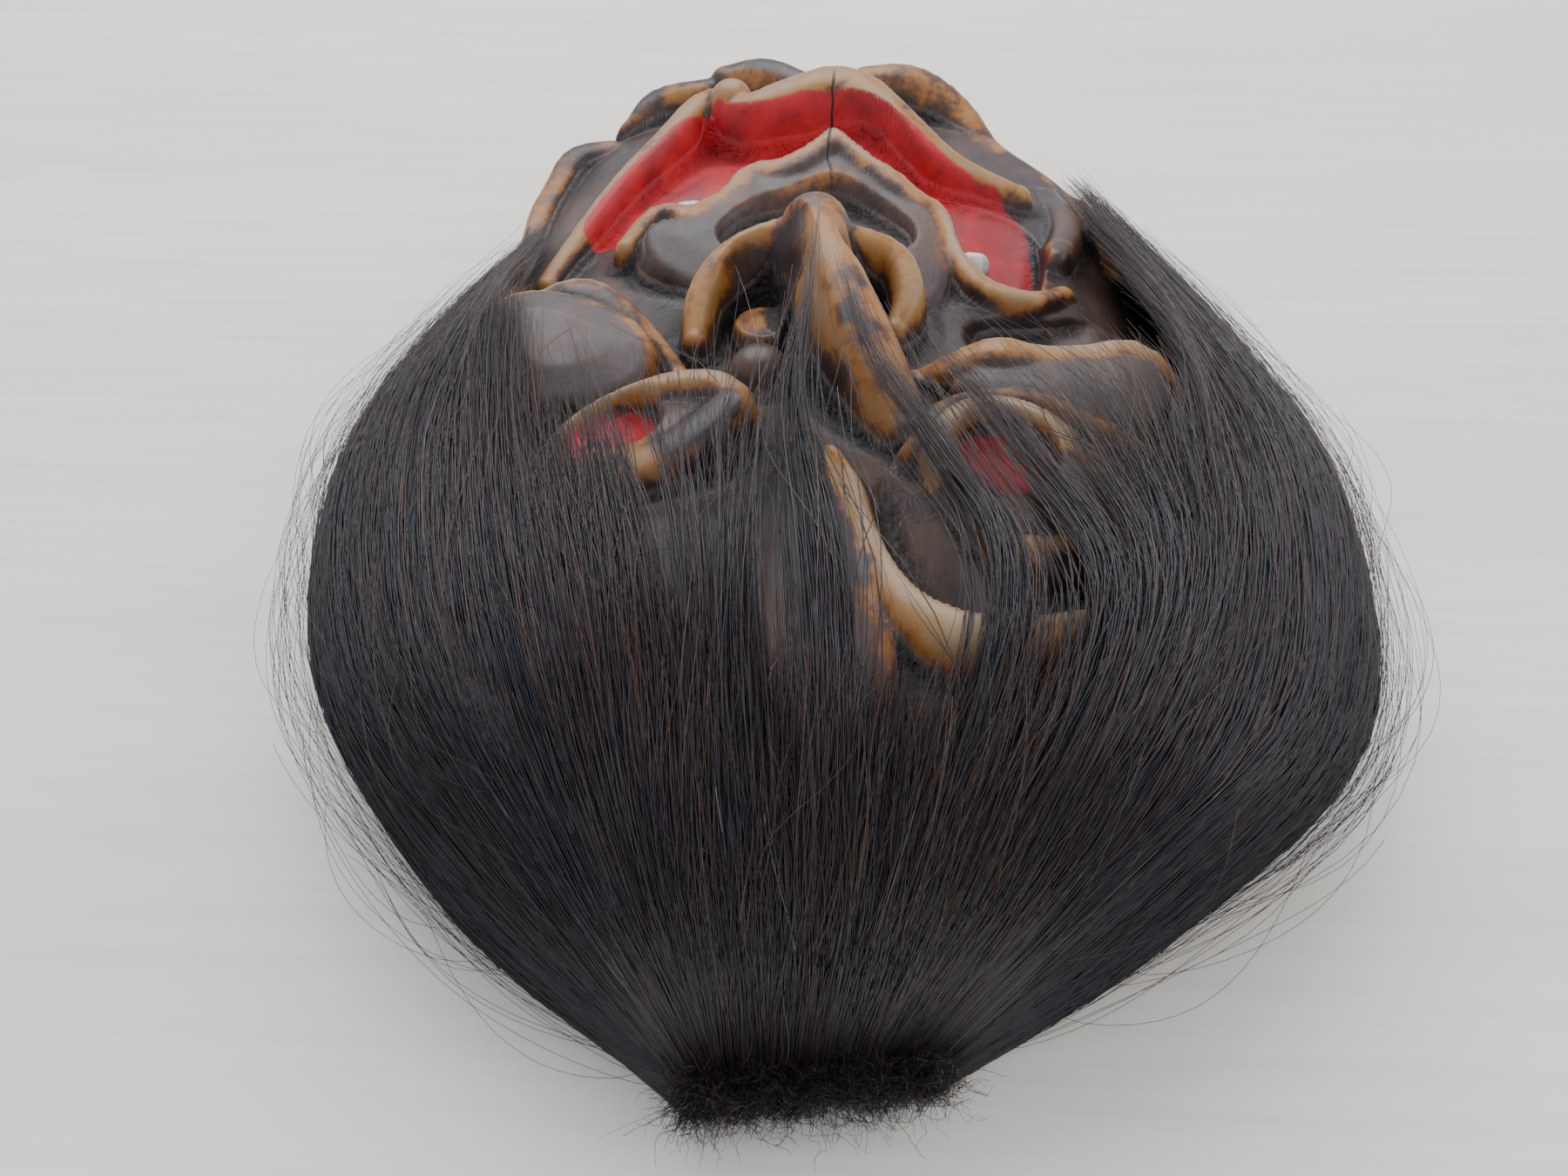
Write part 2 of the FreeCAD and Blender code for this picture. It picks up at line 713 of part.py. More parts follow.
def hanger_pockets():
    """The recess for the keyhole plate, the room for a nail's head behind it, and screw holes."""
    thick = size("plate_thickness") + size("plate_setback")
    recess = slab(size("plate_length") + 0.2, size("plate_width") + 0.2, thick)
    half_x = size("keyhole_radius") + 1.0
    run = size("keyhole_slot_length")
    room = box(-half_x, half_x, -run - half_x / 2, run / 2 + half_x, 0, thick + 6.0)
    room.translate(HANGER_AT)
    pockets = [recess, room]
    for side in (-1, 1):
        start = HANGER_AT + Vector(side * size("screw_spacing") / 2, 0, 0)
        pockets.append(Part.makeCylinder(size("screw_shank_radius"), size("screw_length"), start))
    return pockets


def primitive(kind, at=(None, None, None), **sizes):
    """A Part primitive bound to the sheet, placed from the middle of the hanger."""
    made = doc.addObject(f"Part::{kind}", kind)
    bind(made, **sizes)
    for axis, word, base in zip("xyz", at, HANGER_AT + CENTRING):
        made.setExpression(f"Placement.Base.{axis}", f"{base} + {word or 0}")
    return made


def joined(kind, label, *members):
    """A boolean or a group of other objects."""
    made = doc.addObject(f"Part::{kind}", label)
    made.Label = label
    if kind == "Cut":
        made.Base, made.Tool = members
    elif kind == "Compound":
        made.Links = list(members)
    else:
        made.Shapes = list(members)
    return made


def make_hanger_plate():
    """A steel keyhole plate: a nail's head goes in by the round hole and up the slot."""
    half = "(sizes.plate_length - sizes.plate_width) / 2"
    level = "sizes.plate_setback"
    thick = "sizes.plate_thickness"
    ends = [
        primitive("Cylinder", (f"{sign} * {half}", None, level), Radius="sizes.plate_width / 2", Height=thick)
        for sign in (-1, 1)
    ]
    middle = primitive(
        "Box", (f"-1 * {half}", "-sizes.plate_width / 2", level),
        Length=f"2 * {half}", Width="sizes.plate_width", Height=thick,
    )
    blank = joined("MultiFuse", "plate_blank", middle, *ends)
    entry_y, slot_y = "sizes.keyhole_slot_length / 2", "-sizes.keyhole_slot_length / 2"
    entry = primitive(
        "Cylinder", (None, entry_y, level), Radius="sizes.keyhole_radius", Height=thick)
    slot_end = primitive(
        "Cylinder", (None, slot_y, level), Radius="sizes.keyhole_slot_radius", Height=thick)
    slot = primitive(
        "Box", ("-sizes.keyhole_slot_radius", slot_y, level),
        Length="2 * sizes.keyhole_slot_radius", Width="sizes.keyhole_slot_length", Height=thick,
    )
    seats = [screw_head(side) for side in (-1, 1)]
    holes = joined("MultiFuse", "plate_holes", entry, slot_end, slot, *seats)
    return joined("Cut", "hanger_plate", blank, holes)


def screw_head(side):
    """The countersunk cone of a screw, as deep as the plate is thick."""
    return primitive(
        "Cone", (f"{side} * sizes.screw_spacing / 2", None, "sizes.plate_setback"),
        Radius1="sizes.screw_head_radius", Radius2="sizes.screw_shank_radius",
        Height="sizes.plate_thickness",
    )


def make_hanger_screws():
    """The two countersunk screws that hold the plate."""
    screws = []
    for side in (-1, 1):
        top = "sizes.plate_setback + sizes.plate_thickness"
        shank = primitive(
            "Cylinder", (f"{side} * sizes.screw_spacing / 2", None, top),
            Radius="sizes.screw_shank_radius", Height=f"sizes.screw_length - {top.replace('+', '-')}",
        )
        screws.append(joined("MultiFuse", "screw", screw_head(side), shank))
    return joined("Compound", "hanger_screws", *screws)


# ---------------------------------------------------------------- building and writing
def make_parts():
    """Every sub-part, in the order the real mask is put together."""
    mask = make_mask_body()
    parts = [mask, *make_teeth(mask), make_hanger_plate(), make_hanger_screws()]
    far = 300.0
    gap = SPLIT_GAP / 2
    parts.append(make_hide("hide_crown", box(-far, far, -far, SPLIT_Y - gap, -1, TALL)))
    parts.append(make_hide("hide_left", box(-far, 0, SPLIT_Y + gap, HIDE_ENDS["left"], -1, TALL)))
    parts.append(make_hide("hide_right", box(0, far, SPLIT_Y + gap, HIDE_ENDS["right"], -1, TALL)))
    return [*parts, *make_tacks(), *make_hair()]


def check(parts):
    """Stops the build if any object failed or any sub-part is not sound."""
    doc.recompute()
    for thing in doc.Objects:
        if any(state in thing.State for state in ("Invalid", "Error")):
            raise RuntimeError(f"{thing.Label} did not build")
    for part in parts:
        if part.Shape.isNull() or not part.Shape.isValid() or not part.Shape.Solids:
            raise RuntimeError(f"{part.Label} is not a sound solid")


def main():
    parts = make_parts()
    check(parts)
    os.makedirs("parts", exist_ok=True)
    for part in parts:
        part.Shape.exportStep(os.path.join("parts", f"{part.Label}.step"))
        reach = part.Shape.BoundBox
        print(f"{part.Label}: {len(part.Shape.Solids)} solid(s), {part.Shape.Volume / 1000:.1f} cm3, "
              f"x {reach.XMin:.1f} to {reach.XMax:.1f}, y {reach.YMin:.1f} to {reach.YMax:.1f}, "
              f"z {reach.ZMin:.1f} to {reach.ZMax:.1f}")


main()
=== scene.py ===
"""A carved carnival mask with a long-haired pelt, lying face up on a pale table.

Lengths in the tables are millimetres in the frame that the carving is drawn in: +Y from the
forehead to the chin, +Z out of the face. DRAWN_TO_ROW moves them to the part's frame.
"""

import math

import bpy
import numpy as np
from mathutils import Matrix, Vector


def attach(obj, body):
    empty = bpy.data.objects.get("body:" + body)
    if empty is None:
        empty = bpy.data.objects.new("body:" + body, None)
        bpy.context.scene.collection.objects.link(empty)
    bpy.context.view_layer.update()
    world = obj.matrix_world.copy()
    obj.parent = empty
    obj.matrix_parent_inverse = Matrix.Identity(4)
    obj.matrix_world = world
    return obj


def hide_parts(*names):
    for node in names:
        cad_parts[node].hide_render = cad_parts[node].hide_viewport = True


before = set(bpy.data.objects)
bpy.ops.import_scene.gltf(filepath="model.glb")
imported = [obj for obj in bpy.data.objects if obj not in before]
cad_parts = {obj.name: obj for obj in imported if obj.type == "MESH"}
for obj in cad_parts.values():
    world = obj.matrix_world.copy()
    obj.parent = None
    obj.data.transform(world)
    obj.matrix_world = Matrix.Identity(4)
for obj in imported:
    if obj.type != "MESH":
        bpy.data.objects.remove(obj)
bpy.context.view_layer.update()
DRAWN_TO_ROW = np.array([0.0, -5.0, 0.0])
MM = 0.001
rng = np.random.default_rng(7)

# ---------------------------------------------------------------- plan outlines (x, y)
WOOD_OUTLINE = (
    (0, -195), (35, -190), (70, -165), (100, -125), (115, -65), (115, 0), (115, 60), (110, 110),
    (100, 145), (75, 170), (65, 200), (45, 215), (20, 210), (0, 200), (-20, 210), (-40, 215),
    (-60, 210), (-80, 215), (-95, 190), (-115, 185), (-125, 140), (-120, 50), (-115, -65),
    (-100, -125), (-70, -165), (-35, -190),
)
HOLLOW_OUTLINE = (
    (0, -155), (35, -150), (65, -135), (85, -105), (95, -60), (95, 0), (95, 60), (85, 110),
    (65, 150), (45, 175), (0, 185), (-60, 185), (-90, 165), (-100, 120), (-100, 50), (-100, 0),
    (-95, -60), (-85, -105), (-60, -140), (-35, -150),
)

# ---------------------------------------------------------------- the block before carving
MIDDLE_HEIGHTS = (
    (-230, 2), (-205, 34), (-193, 56), (-178, 78), (-160, 90), (-135, 95), (-105, 90),
    (-70, 80), (-30, 71), (20, 67), (70, 65), (120, 64), (165, 62), (195, 58), (212, 52),
    (240, 40),
)
BLOCK_HALF_WIDTH = 130.0
BLOCK_FULLNESS = 3.0
HOLLOW_FULLNESS = 2.4
HOLLOW_ROUNDING = 34.0
HOLLOW_DEPTH = 84.0
HOLLOW_DOME = 0.6
# Depth of the hollow along the middle, as (y, share of the hollow's full depth).
HOLLOW_DEPTHS = ((-140, 0.98), (-70, 0.97), (0, 0.92), (80, 0.8), (200, 0.68))
WALL = 11.0
# The hollow keeps a wall's thickness under the face, and under its lowest point this near.
WALL_REACH = 8

# ---------------------------------------------------------------- carved forms
# Ridges: points of a crest as (x, y, crest height, half width), then how pale it is rubbed.
RIDGES = {
    "brow_right": (
        ((0, -85, 95, 4), (10, -120, 101, 7), (15, -140, 103, 9), (35, -150, 103, 9),
         (60, -135, 96, 8), (80, -115, 87, 6), (95, -95, 79, 5)), 0.8,
    ),
    "brow_left": (
        ((-20, -125, 97, 5), (-30, -145, 99, 7), (-50, -140, 95, 8), (-75, -120, 86, 7),
         (-90, -95, 76, 5)), 0.4,
    ),
    "lower_lid_left": (
        ((-75, -80, 82, 4), (-65, -65, 89, 5), (-45, -55, 94, 5), (-30, -55, 96, 5),
         (-25, -60, 95, 6)), 0.6,
    ),
    "upper_lid_left": (
        ((-70, -95, 87, 8), (-50, -90, 92, 9), (-35, -80, 95, 8), (-25, -65, 96, 7)), 0.45,
    ),
    "lower_lid_right": (
        ((25, -85, 87, 4), (30, -65, 93, 5), (45, -60, 94, 5), (60, -70, 92, 5), (65, -85, 90, 3)), 0.8,
    ),
    "upper_lid_right": (
        ((40, -110, 90, 4), (60, -115, 94, 4), (80, -105, 87, 4), (95, -95, 77, 4)), 0.6,
    ),
    "eye_fold_inner": (
        ((20, -75, 87, 3), (30, -55, 90, 4), (55, -50, 89, 4), (80, -65, 85, 4), (105, -90, 73, 3)), 0.35,
    ),
    "eye_fold_outer": (
        ((80, -95, 84, 3), (95, -85, 80, 3), (105, -75, 74, 3)), 0.5,
    ),
    "nose_bridge": (
        ((-5, 20, 106, 9), (0, -5, 105, 9), (10, -35, 98, 11), (20, -60, 87, 9)), 0.5,
    ),
    "nostril_left": (
        ((-10, 25, 99, 4), (-30, 20, 94, 5), (-40, 5, 87, 5), (-40, -10, 79, 4)), 0.4,
    ),
    "nostril_right": (
        ((0, 20, 99, 4), (20, 20, 94, 5), (25, 5, 88, 5), (20, -5, 81, 4)), 0.5,
    ),
    "cheek_left": (
        ((-110, -15, 63, 7), (-95, 0, 80, 8), (-75, 0, 91, 9), (-60, -10, 86, 8),
         (-45, -25, 76, 6)), 0.6,
    ),
    "cheek_right": (
        ((25, -25, 76, 5), (45, -30, 92, 8), (65, -25, 83, 7), (90, -20, 87, 7), (105, -40, 68, 6)), 0.6,
    ),
    "upper_lip": (
        ((-70, 60, 70, 5), (-60, 75, 77, 6), (-45, 65, 78, 6), (-30, 90, 85, 8), (-15, 85, 87, 9),
         (0, 105, 93, 12), (15, 90, 89, 10), (25, 75, 84, 6), (40, 70, 78, 5), (45, 35, 73, 5),
         (65, 30, 69, 5), (80, 50, 60, 5)), 0.6,
    ),
    "corner_right": (
        ((80, 70, 64, 6), (90, 100, 60, 8), (85, 130, 56, 7)), 0.2,
    ),
    "lower_lip": (
        ((-100, 60, 55, 5), (-80, 105, 70, 5), (-65, 130, 76, 6), (-50, 165, 81, 8),
         (-35, 145, 84, 9), (-15, 150, 90, 12), (5, 155, 94, 15), (25, 130, 88, 10),
         (45, 115, 76, 7), (70, 110, 67, 6)), 0.62,
    ),
    "chin_lobe": (
        ((-15, 195, 75, 9), (-30, 205, 77, 12), (-45, 205, 73, 9)), 0.45,
    ),
    "jaw_lobe": (
        ((-55, 200, 69, 8), (-75, 205, 64, 11), (-90, 195, 55, 8)), 0.45,
    ),
    "jaw_side": (
        ((-95, 180, 50, 8), (-110, 175, 50, 9), (-115, 155, 44, 7), (-120, 130, 42, 8),
         (-115, 80, 34, 6)), 0.4,
    ),
    "chin_right": (
        ((15, 195, 77, 10), (35, 200, 77, 13), (55, 190, 66, 11), (70, 165, 50, 7)), 0.5,
    ),
    "jaw_right": (
        ((85, 150, 46, 6), (100, 130, 52, 8), (105, 105, 50, 8), (105, 85, 48, 6)), 0.5,
    ),
}
# Raised panels with a pillowed top: (outline, height, slope towards +Y, pillow).
PANELS = {
    "forehead_leaf": (
        ((-5, -80), (-15, -105), (-20, -130), (-15, -155), (-5, -175), (10, -170), (15, -145),
         (5, -105)),
        99.0, 0.06, 4.0,
    ),
    "cheek_plane_left": (
        ((-100, -10), (-80, -5), (-50, -20), (-50, -45), (-80, -55), (-100, -40)),
        86.0, 0.2, 3.0,
    ),
    "cheek_plane_right": (
        ((35, -35), (60, -30), (90, -25), (95, -50), (70, -60), (35, -45)),
        84.0, 0.15, 2.0,
    ),
    "eyeball_right": (
        ((30, -75), (40, -65), (55, -65), (85, -90), (70, -105), (50, -110), (30, -95)),
        90.0, 0.02, 2.0,
    ),
    "eye_left": (
        ((-70, -80), (-60, -65), (-30, -55), (-25, -65), (-45, -90), (-65, -95)),
        90.0, 0.0, 2.0,
    ),
    "lip_skin": (
        ((-60, 40), (-65, 60), (-45, 65), (-30, 85), (-15, 85), (0, 100), (20, 80), (40, 65),
         (40, 30), (25, 20), (-30, 25)),
        77.0, 0.28, 2.0,
    ),
}
# Round knobs: (x, y, top height, radius, how pale).
KNOBS = {
    "nose_tip": (-5, 20, 107, 11, 0.5),
    "wart": (-20, 0, 92, 7, 0.6),
    "nose_root": (-20, -25, 83, 10, 0.0),
    "lip_knob": (-40, 155, 87, 9, 0.5),
}
# Hollows: (outline, floor height, slope towards +Y, steepness of the wall).
HOLLOWS = {
    "eye_pit_left": (
        ((-70, -75), (-60, -60), (-45, -60), (-45, -75), (-65, -85)),
        84.0, 0.0, 2.6,
    ),
    "eye_pit_right": (
        ((30, -75), (40, -65), (55, -70), (55, -85), (45, -95), (35, -90)),
        85.0, 0.0, 2.6,
    ),
    "nostril_pit_left": (
        ((-30, 10), (-20, 15), (-15, 5), (-15, -10), (-30, -10)),
        76.0, 0.0, 2.6,
    ),
    "nostril_pit_right": (
        ((5, 10), (15, 15), (20, 5), (15, -10)),
        88.0, 0.0, 2.6,
    ),
    "socket_right": (
        ((10, -90), (20, -70), (30, -100), (45, -125), (65, -120), (80, -105), (70, -125),
         (50, -135), (30, -140), (20, -130)),
        82.0, 0.0, 2.6,
    ),
    "mouth": (
        ((-90, 75), (-60, 85), (-45, 75), (-35, 95), (-15, 95), (0, 115), (20, 90), (45, 80),
         (50, 45), (65, 40), (75, 65), (75, 95), (45, 105), (30, 115), (10, 140), (-30, 135),
         (-50, 145), (-70, 105)),
        58.0, 0.35, 5.0,
    ),
    "lip_recess": (
        ((-40, 50), (-30, 65), (-15, 70), (0, 80), (15, 70), (30, 55), (20, 45), (0, 45),
         (-20, 45)),
        72.0, 0.1, 3.0,
    ),
    "jaw_hollow_right": (
        ((45, 20), (70, 25), (90, 40), (100, 20), (95, -5), (70, -10), (50, -10)),
        54.0, 0.0, 2.6,
    ),
}
# Red paint: the eye pits, and the mouth with the slope of its lower lip.
RED_FORMS = ("eye_pit_left", "eye_pit_right")
MOUTH_PAINT = (
    (-95, 75), (-60, 80), (-45, 75), (-35, 95), (-15, 95), (0, 110), (20, 90), (40, 75), (50, 45),
    (65, 40), (75, 65), (70, 105), (45, 110), (20, 135), (0, 145), (-35, 140), (-50, 155),
    (-80, 105),
)
RIDGE_SHOULDER = 0.35
PANEL_EDGE = 3.0
WALL_STEEPNESS = 2.6
BLEND = 2.0


# ---------------------------------------------------------------- plan geometry
def rounded(points, closed, rounds=2):
    """Chaikin's corner cutting: the same route with its corners rounded."""
    points = np.array(points, float)
    for _ in range(rounds):
        ahead = np.roll(points, -1, axis=0) if closed else points[1:]
        start = points if closed else points[:-1]
        cut = np.empty((2 * len(start), points.shape[1]))
        cut[0::2] = start * 0.75 + ahead * 0.25
        cut[1::2] = start * 0.25 + ahead * 0.75
        if not closed:
            cut[0], cut[-1] = points[0], points[-1]
        points = cut
    return points


def nearest_on(points, closed, x, y):
    """Distance from each (x, y) to a route, and the route's extra values there."""
    ends = np.roll(points, -1, axis=0) if closed else points[1:]
    starts = points if closed else points[:-1]
    best = np.full(x.shape, 1e18)
    values = np.zeros((points.shape[1] - 2, *x.shape))
    for start, end in zip(starts, ends):
        dx, dy = end[:2] - start[:2]
        along = np.clip(((x - start[0]) * dx + (y - start[1]) * dy) / max(dx * dx + dy * dy, 1e-12), 0, 1)
        gap = (start[0] + along * dx - x) ** 2 + (start[1] + along * dy - y) ** 2
        closer = gap < best
        best = np.where(closer, gap, best)
        for k in range(len(values)):
            here = start[2 + k] + (end[2 + k] - start[2 + k]) * along
            values[k] = np.where(closer, here, values[k])
    return np.sqrt(best), values


def inside(points, x, y):
    """Where (x, y) lies inside a closed outline."""
    within = np.zeros(x.shape, bool)
    for (ax, ay), (bx, by) in zip(points[:, :2], np.roll(points, -1, axis=0)[:, :2]):
        if ay == by:
            continue
        crosses = ((ay > y) != (by > y)) & (x < ax + (bx - ax) * (y - ay) / (by - ay))
        within ^= crosses
    return within


def signed_gap(points, x, y):
    """Distance outside a closed outline, negative inside it."""
    gap, _ = nearest_on(points, True, x, y)
    return np.where(inside(points, x, y), -gap, gap)


def higher(a, b, blend=BLEND):
    """The larger of two heights, with the crease between them rounded."""
    mix = np.maximum(blend - np.abs(a - b), 0) / blend
    return np.maximum(a, b) + mix * mix * blend / 4


def lower(a, b, blend=BLEND):
    """The smaller of two heights, with the crease between them rounded."""
    return -higher(-a, -b, blend)


def edge_drop(gap, edge=PANEL_EDGE, steepness=WALL_STEEPNESS):
    """How far a rounded edge has fallen at this distance outside its outline."""
    rounding = np.where(gap < -edge, 0.0, (gap + edge) ** 2 / (4 * edge))
    return np.where(gap < 0, rounding, edge * 0.25 + gap * steepness)


def block_height(x, y):
    """Height of the block before carving."""
    across = np.minimum(np.abs(x) / BLOCK_HALF_WIDTH, 1)
    middle = np.interp(y, *np.array(MIDDLE_HEIGHTS, float).T)
    return middle * np.sqrt(1 - across**BLOCK_FULLNESS)


def within_reach(points, x, y, margin):
    """Where (x, y) lies within a margin of the points' box."""
    return (
        (x > points[:, 0].min() - margin) & (x < points[:, 0].max() + margin)
        & (y > points[:, 1].min() - margin) & (y < points[:, 1].max() + margin)
    )


def carve(x, y):
    """Height, paleness and redness of the carved face over arrays of plan points."""
    z = block_height(x, y)
    pale = np.zeros(x.shape)
    red = np.zeros(x.shape)
    for outline, height, slope, pillow in PANELS.values():
        points = rounded(outline, True)
        near = within_reach(points, x, y, 20)
        gap = signed_gap(points, x[near], y[near])
        crown = pillow * np.clip(-gap / 12, 0, 1)
        top = height + slope * (y[near] - points[:, 1].mean()) + crown
        z[near] = higher(z[near], top - edge_drop(gap))
    for crest, paleness in RIDGES.values():
        points = rounded(crest, False)
        near = within_reach(points, x, y, 24)
        gap, (top, half) = nearest_on(points, False, x[near], y[near])
        share = gap / half
        fall = RIDGE_SHOULDER * share**2 + (1 - RIDGE_SHOULDER) * np.minimum(share, 3) ** 5
        z[near] = higher(z[near], top - half * fall)
        pale[near] = np.maximum(pale[near], paleness * np.exp(-0.6 * share**2))
    for cx, cy, top, radius, paleness in KNOBS.values():
        near = within_reach(np.array([[cx, cy]]), x, y, 2 * radius)
        gap = np.hypot(x[near] - cx, y[near] - cy) / radius
        z[near] = higher(z[near], top - radius * (0.4 * gap**2 + 0.5 * np.minimum(gap, 2) ** 5))
        pale[near] = np.maximum(pale[near], paleness * np.exp(-(gap**2)))
    for name, (outline, floor, slope, steepness) in HOLLOWS.items():
        points = rounded(outline, True)
        near = within_reach(points, x, y, 24)
        gap = signed_gap(points, x[near], y[near])
        bottom = floor + slope * (y[near] - points[:, 1].mean())
        before = z[near]
        z[near] = lower(before, bottom + edge_drop(gap, steepness=steepness))
        if name in RED_FORMS:
            red[near] = np.maximum(red[near], np.clip(0.5 - gap / 3.0, 0, 1))
    red = np.maximum(red, np.clip(0.5 - signed_gap(rounded(MOUTH_PAINT, True), x, y) / 3.0, 0, 1))
    return z, pale, red


# ---------------------------------------------------------------- making mesh objects
def mesh_piece(name, vertices_mm, faces):
    """A mesh object from drawn millimetres, riding on the mask."""
    mesh = bpy.data.meshes.new(name)
    vertices = (np.asarray(vertices_mm, float) + DRAWN_TO_ROW) * MM
    mesh.from_pydata(vertices.tolist(), [], faces.tolist())
    mesh.polygons.foreach_set("use_smooth", np.ones(len(mesh.polygons), bool))
    piece = bpy.data.objects.new(name, mesh)
    bpy.context.scene.collection.objects.link(piece)
    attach(piece, "root")
    return piece


def point_value(piece, name, values):
    """A named number for each vertex, for materials to read."""
    layer = piece.data.attributes.new(name, "FLOAT", "POINT")
    layer.data.foreach_set("value", np.asarray(values, np.float32))


def smoothed(curve_points, count):
    """A closed Catmull-Rom curve through plan points, sampled evenly by its parameter."""
    points = np.array(curve_points, float)
    at = np.linspace(0, len(points), count, endpoint=False)
    k = at.astype(int)
    f = (at - k)[:, None]
    a, b, c, d = (points[(k + shift) % len(points)] for shift in (-1, 0, 1, 2))
    return 0.5 * (2 * b + (c - a) * f + (2 * a - 5 * b + 4 * c - d) * f**2 + (3 * b - a - 3 * c + d) * f**3)


FACE_MIDDLE = np.array([0.0, 8.0])


def radius_at(outline, angles):
    """Distance from the face's middle to an outline, for each angle."""
    rim = smoothed(outline, 2400) - FACE_MIDDLE
    turn = np.unwrap(np.arctan2(rim[:, 1], rim[:, 0]))
    reach = np.hypot(*rim.T)
    order = np.argsort(turn % (2 * np.pi))
    return np.interp(angles % (2 * np.pi), (turn % (2 * np.pi))[order], reach[order], period=2 * np.pi)


def grid_quads(index):
    """The quads of a rectangular grid of vertex numbers."""
    corners = (index[:-1, :-1], index[1:, :-1], index[1:, 1:], index[:-1, 1:])
    return np.stack(corners, -1).reshape(-1, 4)


def disc_grid(count):
    """A square grid of points bent into a disc, and its quads."""
    line = np.linspace(-1, 1, count)
    u, v = np.meshgrid(line, line, indexing="ij")
    a, b = u * np.sqrt(1 - v**2 / 2), v * np.sqrt(1 - u**2 / 2)
    index = np.arange(count * count).reshape(count, count)
    return a.ravel(), b.ravel(), grid_quads(index)


def rim_loop(count):
    """The grid's outer points in order, anticlockwise."""
    index = np.arange(count * count).reshape(count, count)
    return np.concatenate([index[:, 0], index[-1, 1:], index[-2::-1, -1], index[0, -2:0:-1]])


RIM_ROUNDING = 7.0


def rounded_rim(depth_in, rounding=RIM_ROUNDING):
    """How far the surface has fallen at this distance inside the outline."""
    near = np.clip(1 - depth_in / rounding, 0, 1)
    return rounding * (1 - np.sqrt(np.maximum(1 - near**2, 0)))


def blurred(image, sigma):
    """Gaussian blur of a 2-D array."""
    reach = int(3 * sigma) + 1
    kernel = np.exp(-0.5 * (np.arange(-reach, reach + 1) / sigma) ** 2)
    kernel /= kernel.sum()
    for axis in (0, 1):
        padded = np.pad(image, [(reach, reach) if k == axis else (0, 0) for k in (0, 1)], "edge")
        length = image.shape[axis]
        shifted = (w * np.take(padded, range(i, i + length), axis) for i, w in enumerate(kernel))
        image = sum(shifted)
    return image


class Plan:
    """Values over a plan grid of one-millimetre squares, read by bilinear interpolation."""

    def __init__(self, low=(-135, -205), high=(135, 225), step=1.0):
        self.low, self.step = np.array(low, float), step
        xs = np.arange(low[0], high[0] + step, step)
        ys = np.arange(low[1], high[1] + step, step)
        self.x, self.y = np.meshgrid(xs, ys, indexing="ij")

    def read(self, values, x, y):
        fx = np.clip((x - self.low[0]) / self.step, 0, values.shape[0] - 1.001)
        fy = np.clip((y - self.low[1]) / self.step, 0, values.shape[1] - 1.001)
        i, j = fx.astype(int), fy.astype(int)
        fx, fy = fx - i, fy - j
        return (
            values[i, j] * (1 - fx) * (1 - fy) + values[i + 1, j] * fx * (1 - fy)
            + values[i, j + 1] * (1 - fx) * fy + values[i + 1, j + 1] * fx * fy
        )


def make_face():
    """The carved front and the rim wall of the mask, as one sheet."""
    count = 290
    a, b, quads = disc_grid(count)
    angle = np.arctan2(b, a)
    reach = radius_at(WOOD_OUTLINE, angle)
    x = FACE_MIDDLE[0] + a * reach
    y = FACE_MIDDLE[1] + b * reach
    depth_in = (1 - np.hypot(a, b)) * reach
    z, pale, red = carve(x, y)
    z = z - rounded_rim(depth_in)
    vertices = np.column_stack([x, y, z])
    loop = rim_loop(count)
    rings = [loop]
    walls = []
    start = len(vertices)
    top = vertices[loop]
    for share in (0.1, 0.25, 0.45, 0.65, 0.85, 1.0):
        ring = top.copy()
        ring[:, 2] = top[:, 2] * (1 - share)
        vertices = np.vstack([vertices, ring])
        rings.append(np.arange(start, start + len(loop)))
        start += len(loop)
    for upper, below in zip(rings, rings[1:]):
        walls.append(np.column_stack([upper, below, np.roll(below, -1), np.roll(upper, -1)]))
    faces = np.vstack([quads, *walls])
    piece = mesh_piece("mask_face", vertices, faces)
    plan = Plan()
    heights = carve(plan.x, plan.y)[0]
    extra = len(vertices) - len(x)
    for name, sigma, scale in (("ridge", 2.5, 1.0), ("swell", 7.0, 3.0)):
        bump = (heights - blurred(heights, sigma)) / scale
        values = plan.read(bump, x, y)
        point_value(piece, name, np.concatenate([values, np.zeros(extra)]))
    for name, values in (("pale", pale), ("red", red)):
        point_value(piece, name, np.concatenate([values, np.zeros(extra)]))
    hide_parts("mask_body")
    return piece


def make_back(face_count=150):
    """The flat back rim and the scooped-out hollow."""
    a, b, quads = disc_grid(face_count)
    angle, radius = np.arctan2(b, a), np.hypot(a, b)
    outer, inner = radius_at(WOOD_OUTLINE, angle), radius_at(HOLLOW_OUTLINE, angle)
    x, y = FACE_MIDDLE[0] + a * outer, FACE_MIDDLE[1] + b * outer
    depth_in = inner - radius * outer
    share = 1 - (1 - np.clip(depth_in / HOLLOW_ROUNDING, 0, 1)) ** HOLLOW_FULLNESS
    depth = np.interp(y, *np.array(HOLLOW_DEPTHS, float).T)
    dome = HOLLOW_DEPTH * depth * share**HOLLOW_DOME
    plan = Plan()
    front = carve(plan.x, plan.y)[0]
    shifts = [(shift, axis) for shift in (-WALL_REACH, WALL_REACH) for axis in (0, 1)]
    low_front = np.minimum.reduce([np.roll(front, shift, axis) for shift, axis in shifts])
    limit = plan.read(blurred(np.minimum(front, low_front), 3) - WALL, x, y)
    z = np.where(dome < 10, dome, np.minimum(dome, limit))
    vertices = np.column_stack([x, y, np.where(depth_in > 0, z, 0)])
    piece = mesh_piece("mask_back", vertices, quads[:, ::-1])
    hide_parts("mask_body")
    return piece


